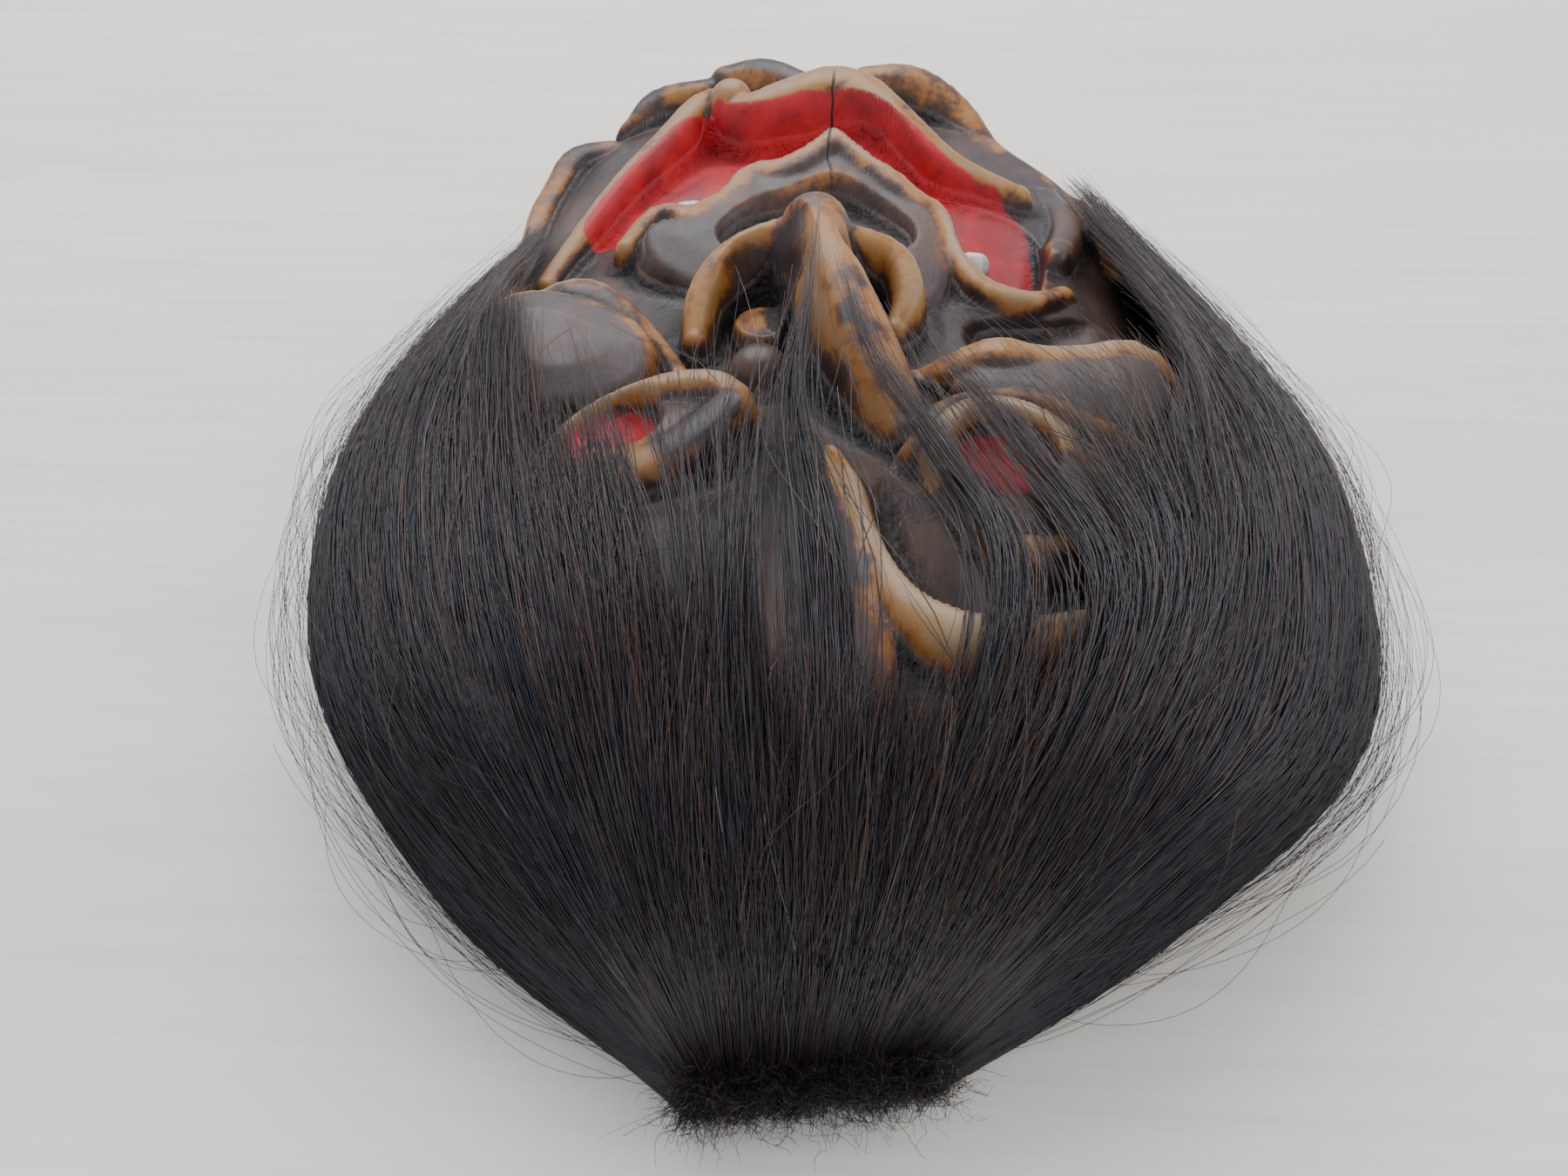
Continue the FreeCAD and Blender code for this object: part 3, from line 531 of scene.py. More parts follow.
# ---------------------------------------------------------------- materials
class Shader:
    """A small helper for building a node material."""

    def __init__(self, name):
        self.material = bpy.data.materials.new(name)
        self.material.use_nodes = True
        self.tree = self.material.node_tree
        self.bsdf = self.tree.nodes["Principled BSDF"]

    def node(self, kind, **inputs):
        made = self.tree.nodes.new(kind)
        for key, value in inputs.items():
            if key in made.inputs.keys():
                self.set(made.inputs[key], value)
            else:
                setattr(made, key, value)
        return made

    def set(self, socket, value):
        if isinstance(value, bpy.types.NodeSocket):
            self.tree.links.new(value, socket)
        else:
            socket.default_value = value

    def value(self, name):
        return self.node("ShaderNodeAttribute", attribute_name=name).outputs["Fac"]

    def place(self, stretch=(1, 1, 1)):
        """Object coordinates, stretched."""
        where = self.node("ShaderNodeTexCoord").outputs["Object"]
        return self.node("ShaderNodeMapping", Vector=where, Scale=stretch).outputs["Vector"]

    def noise(self, scale, detail=4.0, rough=0.55, stretch=(1, 1, 1), vector=None, distort=0.0):
        made = self.node(
            "ShaderNodeTexNoise", Vector=vector or self.place(stretch), Scale=scale, Detail=detail,
            Roughness=rough, Distortion=distort,
        )
        return made.outputs["Fac"]

    def math(self, operation, a, b=0.0):
        made = self.tree.nodes.new("ShaderNodeMath")
        made.operation = operation
        for socket, value in zip(made.inputs, (a, b)):
            self.set(socket, value)
        return made.outputs[0]

    def span(self, value, low, high, to_low=0.0, to_high=1.0):
        """Maps low..high to to_low..to_high smoothly, clamped."""
        made = self.node("ShaderNodeMapRange", interpolation_type="SMOOTHSTEP")
        for socket, number in zip(made.inputs, (value, low, high, to_low, to_high)):
            self.set(socket, number)
        return made.outputs["Result"]

    def ramp(self, value, *stops):
        made = self.node("ShaderNodeValToRGB", Fac=value)
        elements = made.color_ramp.elements
        while len(elements) < len(stops):
            elements.new(0.5)
        for element, (at, colour) in zip(elements, stops):
            element.position, element.color = at, (*colour, 1)
        return made.outputs["Color"]

    def mix(self, share, a, b):
        made = self.tree.nodes.new("ShaderNodeMix")
        made.data_type = "RGBA"
        self.set(made.inputs[0], share)
        for socket, colour in ((made.inputs[6], a), (made.inputs[7], b)):
            self.set(socket, (*colour, 1) if isinstance(colour, tuple) else colour)
        return made.outputs[2]

    def bump(self, height, strength, distance, normal=None):
        made = self.node("ShaderNodeBump", Height=height, Strength=strength, Distance=distance)
        if normal:
            self.set(made.inputs["Normal"], normal)
        return made.outputs["Normal"]

    def finish(self, **inputs):
        for key, value in inputs.items():
            self.set(self.bsdf.inputs[key.replace("_", " ")], value)
        return self.material


CRACK_X = -0.0005
CRACK_Y = (0.070, 0.150)


def carved_wood():
    """Dark stained and waxed wood, rubbed to amber and cream on its ridges, with red paint and near-black
    painted shade in its recesses.
    """
    s = Shader("stained_wood")
    ridge, swell = s.value("ridge"), s.value("swell")
    pale, red = s.value("pale"), s.value("red")
    grain = s.noise(70, 6, 0.6, (1.0, 0.16, 1.0))
    cloud = s.noise(22, 4, 0.6)
    mottle = s.noise(60, 6, 0.65)
    fine = s.noise(380, 5, 0.7)
    stain = s.ramp(cloud, (0.32, (0.018, 0.011, 0.011)), (0.48, (0.042, 0.025, 0.022)),
                   (0.60, (0.085, 0.048, 0.036)), (0.74, (0.13, 0.058, 0.030)))
    stain = s.mix(s.span(grain, 0.45, 0.70, 0.0, 0.5), stain, (0.11, 0.062, 0.045))
    broken = s.math("MULTIPLY", s.math("SUBTRACT", mottle, 0.5), 1.5)
    broken = s.math("ADD", broken, s.math("MULTIPLY", s.math("SUBTRACT", cloud, 0.5), 0.9))
    rubbed = s.math("ADD", s.math("MULTIPLY", pale, 0.85), s.math("MULTIPLY", ridge, 0.16))
    worn = s.span(s.math("ADD", rubbed, broken), 0.12, 0.98)
    depth = s.math("MULTIPLY", worn, s.math("ADD", 0.42, s.math("MULTIPLY", pale, 0.75)))
    wear = s.ramp(depth, (0.0, (0.05, 0.028, 0.022)), (0.20, (0.17, 0.062, 0.020)),
                  (0.40, (0.34, 0.14, 0.030)), (0.62, (0.34, 0.18, 0.065)), (0.88, (0.32, 0.205, 0.115)))
    colour = s.mix(s.span(worn, 0.02, 0.40), stain, wear)
    # Where the carving is concave the colour is pulled to near-black: painted shade in the recesses.
    low = s.math("ADD", swell, s.math("MULTIPLY", ridge, 0.35))
    recess = s.span(s.math("ADD", low, s.math("MULTIPLY", broken, 0.5)), -1.5, -0.25, 0.93, 0.0)
    # The near-black colour of the painted shade in the recesses, broken by fine noise.
    painted_recess_shade = s.ramp(fine, (0.35, (0.006, 0.006, 0.007)), (0.65, (0.040, 0.034, 0.030)))
    colour = s.mix(recess, colour, painted_recess_shade)
    brush = s.noise(260, 3, 0.6, (1.0, 0.35, 1.0))
    edge = s.math("ADD", red, s.math("MULTIPLY", s.math("SUBTRACT", brush, 0.5), 0.8))
    edge = s.math("ADD", edge, s.math("MULTIPLY", s.math("SUBTRACT", mottle, 0.5), 0.9))
    painted = s.span(edge, 0.28, 0.68)
    paint = s.ramp(mottle, (0.28, (0.20, 0.004, 0.008)), (0.50, (0.46, 0.008, 0.014)),
                   (0.72, (0.62, 0.020, 0.022)))
    paint = s.mix(s.span(cloud, 0.35, 0.5, 0.55, 0.0), paint, (0.17, 0.008, 0.010))
    colour = s.mix(painted, colour, paint)
    split = s.node("ShaderNodeSeparateXYZ", Vector=s.place())
    wander = s.math("MULTIPLY", s.math("SUBTRACT", s.noise(30, 3), 0.5), 0.006)
    aside = s.math("ABSOLUTE", s.math("SUBTRACT", s.math("SUBTRACT", split.outputs["X"], CRACK_X), wander))
    along = s.math("MULTIPLY", s.span(split.outputs["Y"], CRACK_Y[0], CRACK_Y[0] + 0.01),
                   s.span(split.outputs["Y"], CRACK_Y[1] - 0.01, CRACK_Y[1], 1.0, 0.0))
    crack = s.math("MULTIPLY", s.span(aside, 0.0002, 0.0007, 1.0, 0.0), along)
    colour = s.mix(crack, colour, (0.004, 0.003, 0.003))
    rough = s.span(mottle, 0.3, 0.75, 0.30, 0.48)
    rough = s.math("ADD", rough, s.math("MULTIPLY", recess, 0.28))
    rough = s.math("ADD", rough, s.math("MULTIPLY", painted, 0.12))
    chisel = s.noise(140, 3, 0.7, distort=0.6)
    normal = s.bump(fine, 0.22, 0.0006)
    normal = s.bump(s.math("MULTIPLY", chisel, recess), 0.9, 0.0030, normal)
    normal = s.bump(s.math("ADD", grain, s.math("MULTIPLY", crack, -3.0)), 0.35, 0.0010, normal)
    return s.finish(Base_Color=colour, Roughness=rough, Normal=normal, Specular_IOR_Level=0.4)


def enamel():
    """Off-white painted tooth with fine upright grooves and a red-brown gum."""
    s = Shader("tooth_enamel")
    groove = s.noise(500, 2, 0.5, (1.0, 0.4, 0.10))
    white = s.ramp(groove, (0.35, (0.50, 0.46, 0.38)), (0.55, (0.80, 0.78, 0.72)))
    height = s.node("ShaderNodeSeparateXYZ", Vector=s.place()).outputs["Z"]
    colour = s.mix(s.span(height, 0.054, 0.059, 1.0, 0.0), white, (0.24, 0.05, 0.03))
    return s.finish(Base_Color=colour, Roughness=0.32, Normal=s.bump(groove, 0.4, 0.0006))


def felted_hide():
    """The grey, slightly fluffy underside and edge of the pelt."""
    s = Shader("felted_hide")
    fluff = s.noise(320, 5, 0.75)
    patch = s.noise(40, 3, 0.5)
    colour = s.ramp(fluff, (0.35, (0.045, 0.042, 0.040)), (0.65, (0.16, 0.15, 0.145)))
    colour = s.mix(s.span(patch, 0.4, 0.65, 0.0, 0.6), colour, (0.07, 0.055, 0.045))
    return s.finish(Base_Color=colour, Roughness=0.95, Normal=s.bump(fluff, 0.8, 0.0012))


def metal(name, dark, light, scale):
    """Dull steel with a mottled finish."""
    s = Shader(name)
    patch = s.noise(scale, 4, 0.6)
    colour = s.ramp(patch, (0.35, dark), (0.65, light))
    rough = s.span(patch, 0.3, 0.7, 0.32, 0.5)
    return s.finish(Base_Color=colour, Roughness=rough, Metallic=1.0, Normal=s.bump(patch, 0.1, 0.0002))


def table_top():
    """Pale birch plywood."""
    s = Shader("table_top")
    rings = s.noise(3.2, 5, 0.5, (0.35, 3.0, 1.0), distort=0.6)
    fibre = s.noise(160, 4, 0.6, (0.05, 1.0, 1.0))
    base = s.ramp(rings, (0.35, (0.88, 0.80, 0.69)), (0.6, (0.93, 0.88, 0.80)))
    colour = s.mix(s.span(fibre, 0.4, 0.7, 0.0, 0.3), base, (0.74, 0.67, 0.57))
    return s.finish(Base_Color=colour, Roughness=0.6, Normal=s.bump(fibre, 0.15, 0.0004))


# ---------------------------------------------------------------- light, floor and camera
CAMERA_AT = (-3.0, -310.0, 272.0)
CAMERA_PITCH = 45.0
CAMERA_YAW = 2.0
FOCAL_SHARE = 0.75


def make_stage():
    """The floor, soft lights and the camera."""
    bpy.ops.mesh.primitive_plane_add(size=6.0, location=(0, 0, 0))
    floor = bpy.context.object
    floor.name = "table"
    floor.data.materials.append(table_top())
    world = bpy.data.worlds.new("studio")
    world.use_nodes = True
    world.node_tree.nodes["Background"].inputs["Color"].default_value = (0.86, 0.91, 1.0, 1)
    world.node_tree.nodes["Background"].inputs["Strength"].default_value = 0.95
    bpy.context.scene.world = world
    for name, at, size, power, colour in (
        ("sky_panel", (-0.3, 1.1, 1.7), 1.8, 42, (0.93, 0.96, 1.0)),
        ("side_panel", (1.5, -0.3, 1.2), 1.2, 9, (1.0, 0.97, 0.93)),
    ):
        lamp = bpy.data.lights.new(name, "AREA")
        lamp.size, lamp.energy, lamp.color = size, power, colour
        holder = bpy.data.objects.new(name, lamp)
        holder.location = at
        holder.rotation_euler = (Vector((0, 0, 0.05)) - Vector(at)).to_track_quat("-Z", "Y").to_euler()
        bpy.context.scene.collection.objects.link(holder)
    camera = bpy.data.cameras.new("camera")
    camera.sensor_width = 36.0
    camera.lens = 36.0 * FOCAL_SHARE
    camera.clip_start = 0.01
    holder = bpy.data.objects.new("camera", camera)
    holder.location = (np.array(CAMERA_AT) + DRAWN_TO_ROW) * MM
    pitch, yaw = math.radians(CAMERA_PITCH), math.radians(CAMERA_YAW)
    holder.rotation_euler = (math.pi / 2 - pitch, 0, yaw)
    bpy.context.scene.collection.objects.link(holder)
    bpy.context.scene.camera = holder


# ---------------------------------------------------------------- hair
# The pelt's guide hairs in order from the left side, over the crown, to the right side, each
# from root to tip as (x, y, z). Then: how many hairs follow it, how far they stray towards its
# neighbours (as a share of the way), and where along it their tips are.
GUIDES = (
    (((-28, -200, 2), (-90, -160, 3), (-135, -100, 9), (-140, -20, 14),
      (-130, 60, 17), (-115, 115, 20)), 700, 0.6, (0.6, 1)),
    (((-26, -200, 5), (-90, -165, 13), (-135, -110, 28), (-150, -50, 36),
      (-145, 20, 38), (-120, 110, 38)), 1100, 0.6, (0.6, 1.02)),
    (((-26, -210, 10), (-75, -175, 38), (-115, -130, 58), (-135, -60, 64),
      (-130, 20, 58), (-110, 105, 50)), 1300, 0.6, (0.6, 1.02)),
    (((-25, -210, 15), (-55, -185, 58), (-90, -140, 82), (-110, -60, 84),
      (-110, 20, 72), (-105, 85, 56)), 1300, 0.6, (0.5, 1)),
    (((-24, -210, 15), (-45, -190, 68), (-70, -140, 95), (-90, -65, 95),
      (-100, 0, 87), (-100, 30, 78)), 1200, 0.6, (0.4, 0.95)),
    (((-20, -210, 15), (-35, -190, 75), (-50, -140, 103), (-70, -70, 99),
      (-85, -10, 92), (-90, 0, 90)), 1000, 0.6, (0.35, 0.75)),
    (((-20, -210, 15), (-25, -190, 78), (-30, -140, 106), (-45, -80, 104),
      (-60, -35, 97), (-65, -25, 95)), 800, 0.6, (0.28, 0.55)),
    (((-10, -205, 15), (-10, -190, 78), (-15, -140, 107), (-15, -80, 104),
      (-10, -30, 102), (-5, 10, 110)), 700, 0.6, (0.26, 0.42)),
    (((0, -205, 15), (5, -190, 78), (5, -140, 108), (-5, -80, 103),
      (-5, -30, 103), (-5, 10, 110)), 700, 0.6, (0.26, 0.4)),
    (((10, -205, 15), (20, -190, 77), (35, -140, 106), (25, -90, 101),
      (10, -45, 99), (0, -10, 106)), 700, 0.5, (0.26, 0.42)),
    (((15, -205, 14), (38, -186, 78), (60, -140, 102), (50, -90, 98),
      (35, -50, 96), (25, -25, 95)), 1250, 0.8, (0.28, 0.5)),
    (((20, -200, 14), (52, -184, 76), (80, -140, 97), (95, -75, 91),
      (100, -25, 86), (90, 20, 78)), 1200, 0.7, (0.4, 0.9)),
    (((23, -200, 12), (68, -178, 68), (105, -140, 76), (120, -65, 80),
      (115, 15, 70), (90, 130, 60)), 1300, 0.6, (0.5, 1)),
    (((26, -200, 8), (78, -175, 38), (120, -135, 57), (140, -65, 62),
      (135, 15, 57), (100, 140, 54)), 1400, 0.6, (0.6, 1.02)),
    (((27, -195, 5), (86, -165, 13), (140, -120, 27), (155, -60, 36),
      (150, 5, 38), (110, 150, 42)), 1200, 0.6, (0.6, 1.02)),
    (((26, -195, 2), (86, -160, 3), (140, -105, 9), (145, -30, 14),
      (130, 50, 20), (110, 140, 24)), 800, 0.6, (0.6, 1)),
)
# Thin locks combed over the bare face: guide number, hairs, spread, where the tips are.
LOCKS = (
    (7.7, 120, 0.20, (0.7, 1.0)),
    (9.1, 170, 0.14, (0.6, 1.0)),
    (9.9, 190, 0.12, (0.6, 1.0)),
    (10.4, 120, 0.15, (0.6, 1.0)),
    (5.6, 120, 0.45, (0.6, 0.95)),
    (6.4, 90, 0.30, (0.55, 0.9)),
)
# How far along each guide the dense lower hair reaches.
DENSE_TO = (0.92, 0.94, 0.94, 0.9, 0.8, 0.55, 0.32, 0.26, 0.26, 0.26, 0.44, 0.85, 0.94, 0.96, 0.96, 0.94)
ROUTE_POINTS = 48
HAIR_POINTS = 16
HAIR_SIDES = 3
HAIRS_PER_PIECE = 2000
HAIRS_PER_CLUMP = 14
UNRULY_SHARE = 0.22
LOOSE_SHARE = 0.35
# Of the long hairs: radius, height over the outer sheet, and height over the wood.
STRAND_RADIUS = (0.13, 0.22)
STRAND_DEPTH = (-4.5, 1.5)
STRAND_CLEAR = (1.0, 3.0)
# The guides that each side of the pelt runs between. A guide on a border counts with the later.
SIDES = {"left": (0, 5), "crown": (5, 11), "right": (11, 15)}
# Guides that single loose hairs start from, and how far they may reach in x and y.
FLYAWAY_GUIDES = (0.6, 1.2, 2.0, 3.0, 12.0, 13.0, 13.8, 14.4, 7.0, 9.0)
FLYAWAYS = 420
FLYAWAY_X = (-166, 169)
FLYAWAY_Y = (-219, 200)
FLYAWAY_RADIUS = 0.075
# Of the short hair at the crown's edge: where it is rooted, how long it is, and its radius.
UNDERFUR_X = (-30, 30)
UNDERFUR_Z = (1.5, 20)
UNDERFUR_LENGTH = (6, 16)
UNDERFUR_RADIUS = (0.07, 0.12)
# The undercoat lies this far under the outer hair, and this far over the wood.
UNDERCOAT_DEPTH = 5.0
UNDERCOAT_CLEAR = 0.8
# Hair keeps over the wood to this far outside its outline, and clear of wood and table by these.
RIM_MARGIN = 3.0
WOOD_CLEAR = 0.6
TABLE_CLEAR = 0.4


def open_curve(points, count):
    """A Catmull-Rom curve through points, sampled evenly along its length."""
    points = np.array(points, float)
    points = np.vstack([2 * points[0] - points[1], points, 2 * points[-1] - points[-2]])
    at = np.linspace(0, len(points) - 3, 400)
    k = np.minimum(at.astype(int), len(points) - 4)
    f = (at - k)[:, None]
    a, b, c, d = (points[k + shift] for shift in range(4))
    fine = 0.5 * (2 * b + (c - a) * f + (2 * a - 5 * b + 4 * c - d) * f**2 + (3 * b - a - 3 * c + d) * f**3)
    run = np.concatenate([[0], np.cumsum(np.linalg.norm(np.diff(fine, axis=0), axis=1))])
    even = np.linspace(0, run[-1], count)
    return np.column_stack([np.interp(even, run, fine[:, k]) for k in range(3)])


def crown_edge(x):
    """Where the pelt's cut edge lies: a nearly straight line across the top of the head."""
    return -205 + 0.13 * x


def route(points):
    """A guide's smooth course, started on the pelt's cut edge."""
    (x, _, z), *rest = points
    return open_curve([(x, crown_edge(x), z), *rest], ROUTE_POINTS)


ROUTES = np.array([route(guide[0]) for guide in GUIDES])


def on_pelt(across, along):
    """Points of the hair's outer sheet: across in guides, along from 0 at roots to 1 at tips."""
    across = np.clip(across, 0, len(ROUTES) - 1)
    i = np.minimum(across.astype(int), len(ROUTES) - 2)
    fa = (across - i)[..., None]
    fa = fa * fa * (3 - 2 * fa) * 0.5 + fa * 0.5
    at = np.clip(along, 0, 1.15) * (ROUTE_POINTS - 1)
    j = np.minimum(at.astype(int), ROUTE_POINTS - 2)
    fb = (at - j)[..., None]
    left = ROUTES[i, j] * (1 - fb) + ROUTES[i, j + 1] * fb
    right = ROUTES[i + 1, j] * (1 - fb) + ROUTES[i + 1, j + 1] * fb
    return left * (1 - fa) + right * fa


def tubes(paths, radii):
    """Vertices and quads of thin tubes along many paths (hair, point, xyz)."""
    hairs, count, _ = paths.shape
    run = np.gradient(paths, axis=1)
    run /= np.maximum(np.linalg.norm(run, axis=2, keepdims=True), 1e-9)
    side = np.cross(run, np.array([0.12, 0.2, 1.0]))
    side /= np.maximum(np.linalg.norm(side, axis=2, keepdims=True), 1e-9)
    rise = np.cross(side, run)
    rings = []
    for k in range(HAIR_SIDES):
        turn = 2 * math.pi * k / HAIR_SIDES + 0.5
        rings.append(paths + (side * math.cos(turn) + rise * math.sin(turn)) * radii[..., None])
    vertices = np.stack(rings, axis=2)
    index = np.arange(hairs * count * HAIR_SIDES).reshape(hairs, count, HAIR_SIDES)
    around = np.roll(index, -1, axis=2)
    quads = np.stack([index[:, :-1], around[:, :-1], around[:, 1:], index[:, 1:]], -1)
    return vertices.reshape(-1, 3), quads.reshape(-1, 4)


def clump_centres(across, spread, clumps):
    """For each hair, the nearest of a few clump centres."""
    centres = np.sort(rng.uniform(across.min() - spread, across.max() + spread, clumps))
    return centres[np.abs(across[:, None] - centres[None]).argmin(1)]


def grow(across_mid, hairs, spread, tips, normal=False):
    """Paths and radii of the hairs that follow one guide."""
    stray = rng.normal(0, spread, hairs) if normal else rng.uniform(-spread, spread, hairs)
    across = across_mid + stray
    root = rng.uniform(0.0, 1.0, hairs) ** 1.6 * 0.42
    if normal:
        root = rng.uniform(0.1, 0.28, hairs)
    tip = rng.uniform(*tips, hairs)
    root = np.minimum(root, tip - 0.25)
    share = np.linspace(0, 1, HAIR_POINTS)[None]
    along = root[:, None] + (tip - root)[:, None] * share
    centre = clump_centres(across, 0.1, max(hairs // HAIRS_PER_CLUMP, 3))
    pull = 0.75 * share**1.5
    unruly = np.where(rng.uniform(0, 1, (hairs, 1)) < UNRULY_SHARE, 0.55, 0.12)
    strength = unruly * rng.normal(0, 1, (hairs, 1))
    turns = rng.uniform(1, 4, (hairs, 1))
    sway = strength * np.sin(share * turns + rng.uniform(0, 6, (hairs, 1)))
    lanes = across[:, None] * (1 - pull) + centre[:, None] * pull + sway * share
    paths = on_pelt(lanes, along)
    depth = rng.uniform(*STRAND_DEPTH, (hairs, 1))
    rise = depth - 4.0 * (1 - np.clip(share / 0.12, 0, 1))
    paths[:, :, 2] += rise
    phase = rng.uniform(0, 6.28, (hairs, 1, 3))
    pace = rng.uniform(3, 9, (hairs, 1, 3))
    wave = np.sin(share[..., None] * pace + phase) * rng.uniform(0.4, 2.3, (hairs, 1, 1))
    paths += wave * share[..., None]
    frizz = rng.normal(0, 1, (hairs, 1, 3)) * (np.clip(share - 0.6, 0, 1) ** 1.5)[..., None] * 7.0
    loose = rng.uniform(0, 1, (hairs, 1, 1)) < LOOSE_SHARE
    paths += frizz * loose
    thick = rng.uniform(*STRAND_RADIUS, (hairs, 1))
    radii = thick * (1 - 0.75 * share**3)
    return paths, np.broadcast_to(radii, paths.shape[:2]).copy()


def hair_floor(plan):
    """The lowest height that hair can have over each point of the plan, and a little past its rim."""
    heights = carve(plan.x, plan.y)[0]
    gap = signed_gap(smoothed(WOOD_OUTLINE, 200), plan.x, plan.y)
    over_wood = heights - rounded_rim(np.maximum(-gap, 0)) + WOOD_CLEAR
    return np.where(gap < RIM_MARGIN, over_wood, TABLE_CLEAR)


def above_wood(paths, plan, floor, clear=0.0):
    """Lifts hairs that would sink into the carved face or the table."""
    lowest = plan.read(floor, paths[..., 0], paths[..., 1]) + clear
    paths[..., 2] = np.maximum(paths[..., 2], lowest)
    return paths


def hair_material():
    """Glossy near-black animal hair, browner towards its tips, with a painted bluish sheen on the darkest
    strands towards their roots.
    """
    s = Shader("hair")
    where = s.node("ShaderNodeUVMap", uv_map="OFBake").outputs["UV"]
    split = s.node("ShaderNodeSeparateXYZ", Vector=where)
    shade, along = split.outputs["X"], split.outputs["Y"]
    # The lowest shades are tinted blue: a painted bluish sheen, strongest at the roots and fading towards
    # the tips.
    root = s.ramp(shade, (0.0, (0.006, 0.008, 0.018)), (0.45, (0.012, 0.011, 0.018)),
                  (0.72, (0.026, 0.015, 0.013)), (0.985, (0.050, 0.024, 0.017)),
                  (0.990, (0.20, 0.17, 0.15)))
    tip = s.ramp(shade, (0.0, (0.011, 0.009, 0.013)), (0.5, (0.028, 0.016, 0.014)),
                 (0.8, (0.066, 0.032, 0.022)), (0.985, (0.11, 0.055, 0.035)),
                 (0.990, (0.30, 0.27, 0.24)))
    colour = s.mix(s.span(along, 0.35, 1.0), root, tip)
    return s.finish(Base_Color=colour, Roughness=0.31, Specular_IOR_Level=0.6)


def hair_piece(name, paths, radii, material, nodes):
    """One bundle of hairs as a mesh piece, with its shade and length laid out as a UV map."""
    vertices, quads = tubes(paths, radii)
    piece = mesh_piece(name, vertices, quads)
    hairs = len(paths)
    shade = rng.uniform(0.01, 0.99, hairs)
    u = np.repeat(shade, HAIR_POINTS * HAIR_SIDES)
    v = np.tile(np.repeat(np.linspace(0.02, 0.98, HAIR_POINTS), HAIR_SIDES), hairs)
    around = np.tile(np.arange(HAIR_SIDES) * 0.002, hairs * HAIR_POINTS)
    corners = np.column_stack([u + around, v])[quads.ravel()]
    piece.data.uv_layers.new(name="OFBake").data.foreach_set("uv", corners.ravel())
    piece.data.materials.append(material)
    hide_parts(*nodes)
    return piece


SIDE_NODES = {
    "left": ("hair_left",),
    "crown": ("hair_crown", "hair_forelock", "hair_inner_lock"),
    "right": ("hair_right",),
}


def bundle(side, name, paths, radii, material):
    """Splits many hairs into pieces of a moderate size."""
    order = rng.permutation(len(paths))
    parts = max(math.ceil(len(paths) * paths.shape[1] / HAIR_POINTS / HAIRS_PER_PIECE), 1)
    for k, chosen in enumerate(np.array_split(order, parts)):
        hair_piece(f"{name}_{k + 1}", paths[chosen], radii[chosen], material, SIDE_NODES[side])


def side_of(number):
    """The side of the pelt that a guide's hair belongs to."""
    return "left" if number < SIDES["crown"][0] else "crown" if number < SIDES["right"][0] else "right"


def make_hair(plan, floor, material):
    """The pelt's long hairs and the locks over the face."""
    thin = 1.0
    groups = {"left": [], "crown": [], "right": []}
    for number, (_, hairs, spread, tips) in enumerate(GUIDES):
        groups[side_of(number)].append(grow(number, int(hairs * thin), spread, tips))
    for number, hairs, spread, tips in LOCKS:
        groups["crown"].append(grow(number, int(hairs * thin), spread, tips, normal=True))
    for side, grown in groups.items():
        paths = np.concatenate([g[0] for g in grown])
        paths = above_wood(paths, plan, floor, rng.uniform(*STRAND_CLEAR, (len(paths), 1)))
        radii = np.concatenate([g[1] for g in grown])
        bundle(side, f"hair_{side}_strands", paths, radii, material)


def make_underfur(material):
    """Short frizzy hair at the pelt's edge round the crown."""
    hairs = 2600
    x = rng.uniform(*UNDERFUR_X, hairs)
    y = crown_edge(x) + rng.normal(0, 1.2, hairs)
    z = rng.uniform(*UNDERFUR_Z, hairs)
    share = np.linspace(0, 1, 9)
    length = rng.uniform(*UNDERFUR_LENGTH, hairs)
    outward = rng.normal((0.0, -0.3, 0.6), (0.4, 0.28, 0.4), (hairs, 3))
    paths = np.column_stack([x, y, z])[:, None] + outward[:, None] * (length[:, None] * share)[..., None]
    turns = share[None, :, None] * rng.uniform(6, 16, (hairs, 1, 3)) + rng.uniform(0, 6.3, (hairs, 1, 3))
    paths += rng.uniform(0.4, 2.0, (hairs, 1, 3)) * share[None, :, None] ** 0.7 * np.sin(turns)
    paths[..., 2] = np.maximum(paths[..., 2], TABLE_CLEAR)
    thick = rng.uniform(*UNDERFUR_RADIUS, (hairs, 1))
    radii = np.broadcast_to(thick * (1 - 0.6 * share), paths.shape[:2])
    bundle("crown", "hair_crown_underfur", paths, radii.copy(), material)


def make_flyaways(plan, floor, material):
    """Single hairs that stand off the pelt in loose arcs."""
    hairs = FLYAWAYS
    across = rng.choice(FLYAWAY_GUIDES, hairs) + rng.normal(0, 0.5, hairs)
    root = rng.uniform(0.02, 0.6, hairs)
    share = np.linspace(0, 1, HAIR_POINTS)
    reach = rng.uniform(0.15, 0.5, hairs)
    paths = on_pelt(np.repeat(across[:, None], HAIR_POINTS, 1), root[:, None] + reach[:, None] * share)
    out = paths[:, :1].copy()
    out[..., 2] = 20
    out /= np.linalg.norm(out, axis=2, keepdims=True)
    share = share[None, :, None]
    height = rng.uniform(3, 19, (hairs, 1, 1))
    lift = height * np.sin(share**0.8 * rng.uniform(1.2, 2.9, (hairs, 1, 1)))
    paths = paths + out * lift
    wobble = rng.normal(0, 1.5, (hairs, 1, 3))
    paths += wobble * np.sin(share * rng.uniform(3, 8, (hairs, 1, 3)))
    paths[..., 0] = np.clip(paths[..., 0], *FLYAWAY_X)
    paths[..., 1] = np.clip(paths[..., 1], *FLYAWAY_Y)
    radii = np.full(paths.shape[:2], FLYAWAY_RADIUS)
    bundle("left", "hair_flyaways", above_wood(paths, plan, floor), radii, material)


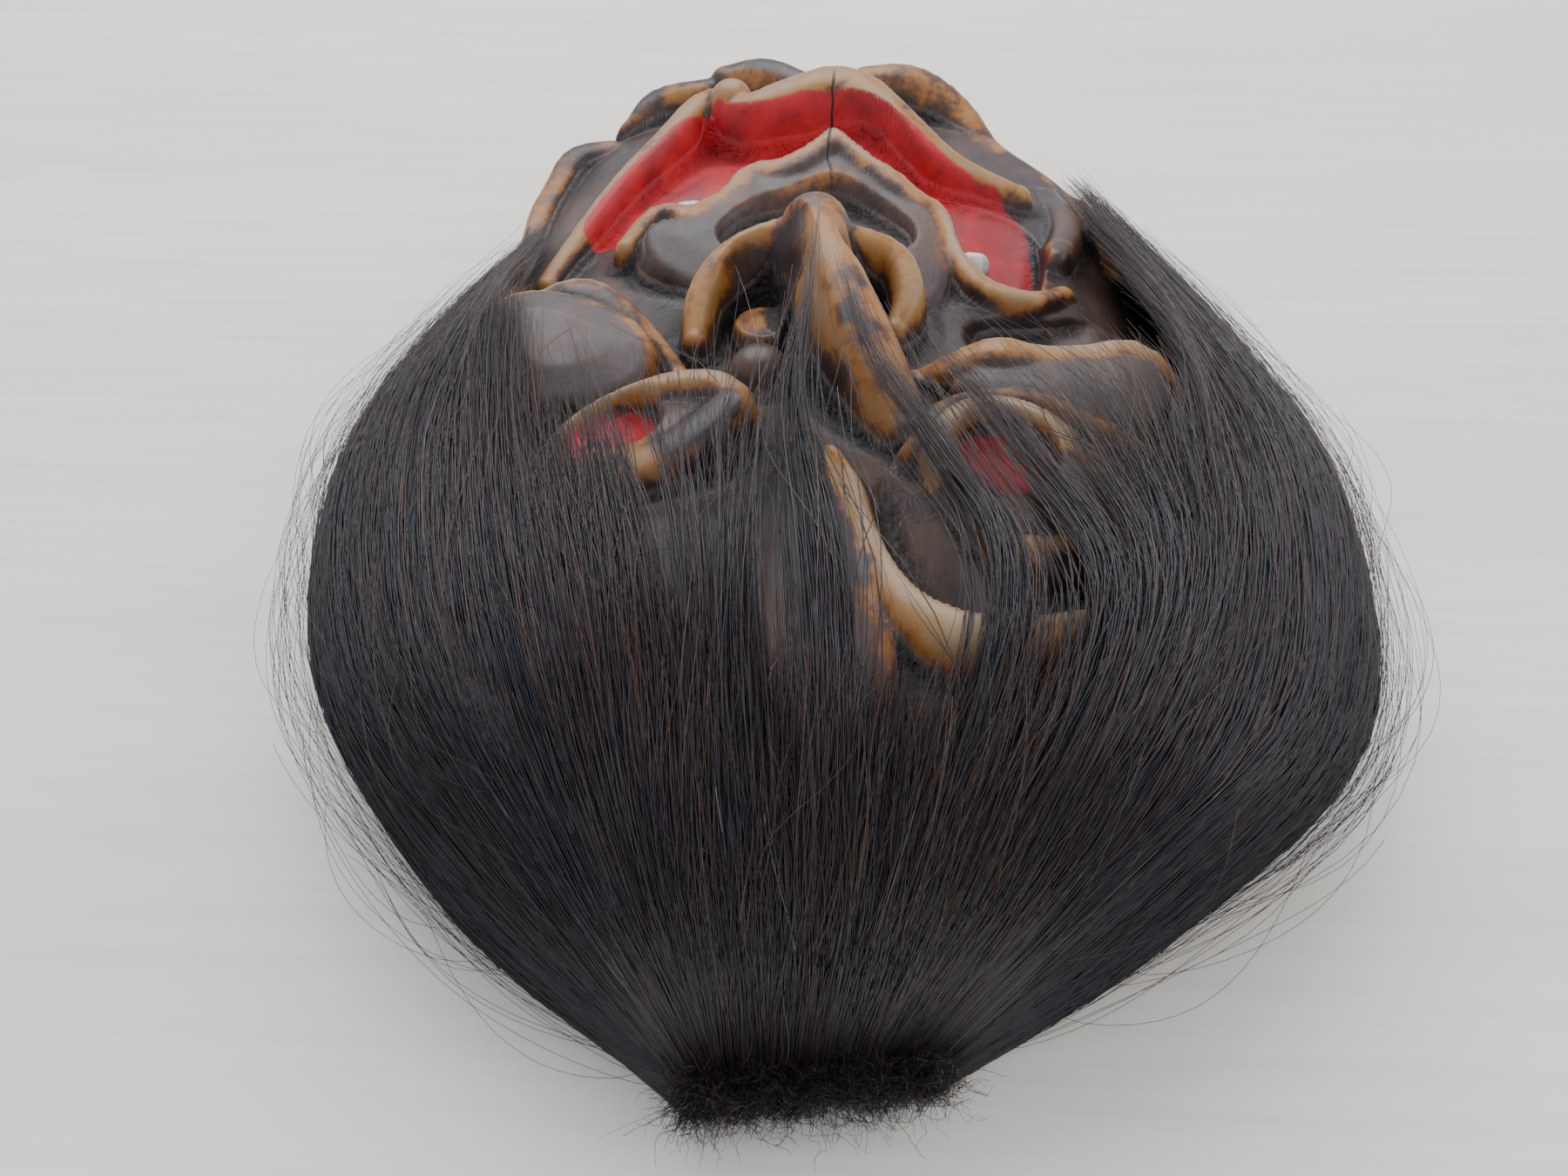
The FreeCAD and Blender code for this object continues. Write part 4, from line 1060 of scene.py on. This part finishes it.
def undercoat_material():
    """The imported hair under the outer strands."""
    s = Shader("hair_undercoat")
    where = s.node("ShaderNodeUVMap", uv_map="OFBake").outputs["UV"]
    lanes = s.node("ShaderNodeMapping", Vector=where, Scale=(260.0, 5.0, 1.0)).outputs["Vector"]
    strand = s.noise(1.0, 3, 0.6, vector=lanes)
    colour = s.ramp(strand, (0.3, (0.003, 0.003, 0.004)), (0.55, (0.012, 0.008, 0.008)),
                    (0.75, (0.03, 0.016, 0.012)))
    return s.finish(Base_Color=colour, Roughness=0.55, Normal=s.bump(strand, 0.8, 0.0015))


def make_undercoat(plan, floor):
    """The dense lower hair that closes the gaps between the strands."""
    material = undercoat_material()
    for side, (low, high) in SIDES.items():
        lanes = np.linspace(low, high, 70)
        share = np.linspace(0, 1, 90)
        across = np.repeat(lanes[:, None], len(share), 1)
        along = np.interp(lanes, range(len(DENSE_TO)), DENSE_TO)[:, None] * share[None]
        points = on_pelt(across, along)
        points[..., 2] -= UNDERCOAT_DEPTH
        points = above_wood(points, plan, floor, UNDERCOAT_CLEAR)
        index = np.arange(points[..., 0].size).reshape(across.shape)
        quads = grid_quads(index)
        piece = mesh_piece(f"hair_{side}_undercoat", points.reshape(-1, 3), quads)
        down = np.broadcast_to(share, across.shape)
        uv = np.column_stack([(across / (len(GUIDES) - 1)).ravel(), down.ravel()])
        piece.data.uv_layers.new(name="OFBake").data.foreach_set("uv", uv[quads.ravel()].ravel())
        piece.data.materials.append(material)
        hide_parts(*SIDE_NODES[side])


# ---------------------------------------------------------------- putting it together
def paint_node(name, material):
    """Gives a CAD node that stays as it is a better material."""
    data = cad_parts[name].data
    data.materials.clear()
    data.materials.append(material)


def main():
    make_stage()
    wood = carved_wood()
    for piece in (make_face(), make_back()):
        piece.data.materials.append(wood)
    hide, tooth = felted_hide(), enamel()
    tacks = metal("blued_steel", (0.05, 0.055, 0.065), (0.12, 0.12, 0.13), 300)
    zinc = metal("zinc_steel", (0.42, 0.42, 0.43), (0.62, 0.62, 0.60), 120)
    for side in ("crown", "left", "right"):
        paint_node(f"hide_{side}", hide)
        paint_node(f"hide_tacks_{side}", tacks)
    for name, material in (("tooth_left", tooth), ("tooth_right", tooth), ("hanger_plate", zinc),
                           ("hanger_screws", zinc)):
        paint_node(name, material)
    plan = Plan()
    floor = hair_floor(plan)
    hair = hair_material()
    make_undercoat(plan, floor)
    make_hair(plan, floor, hair)
    make_underfur(hair)
    make_flyaways(plan, floor, hair)


main()
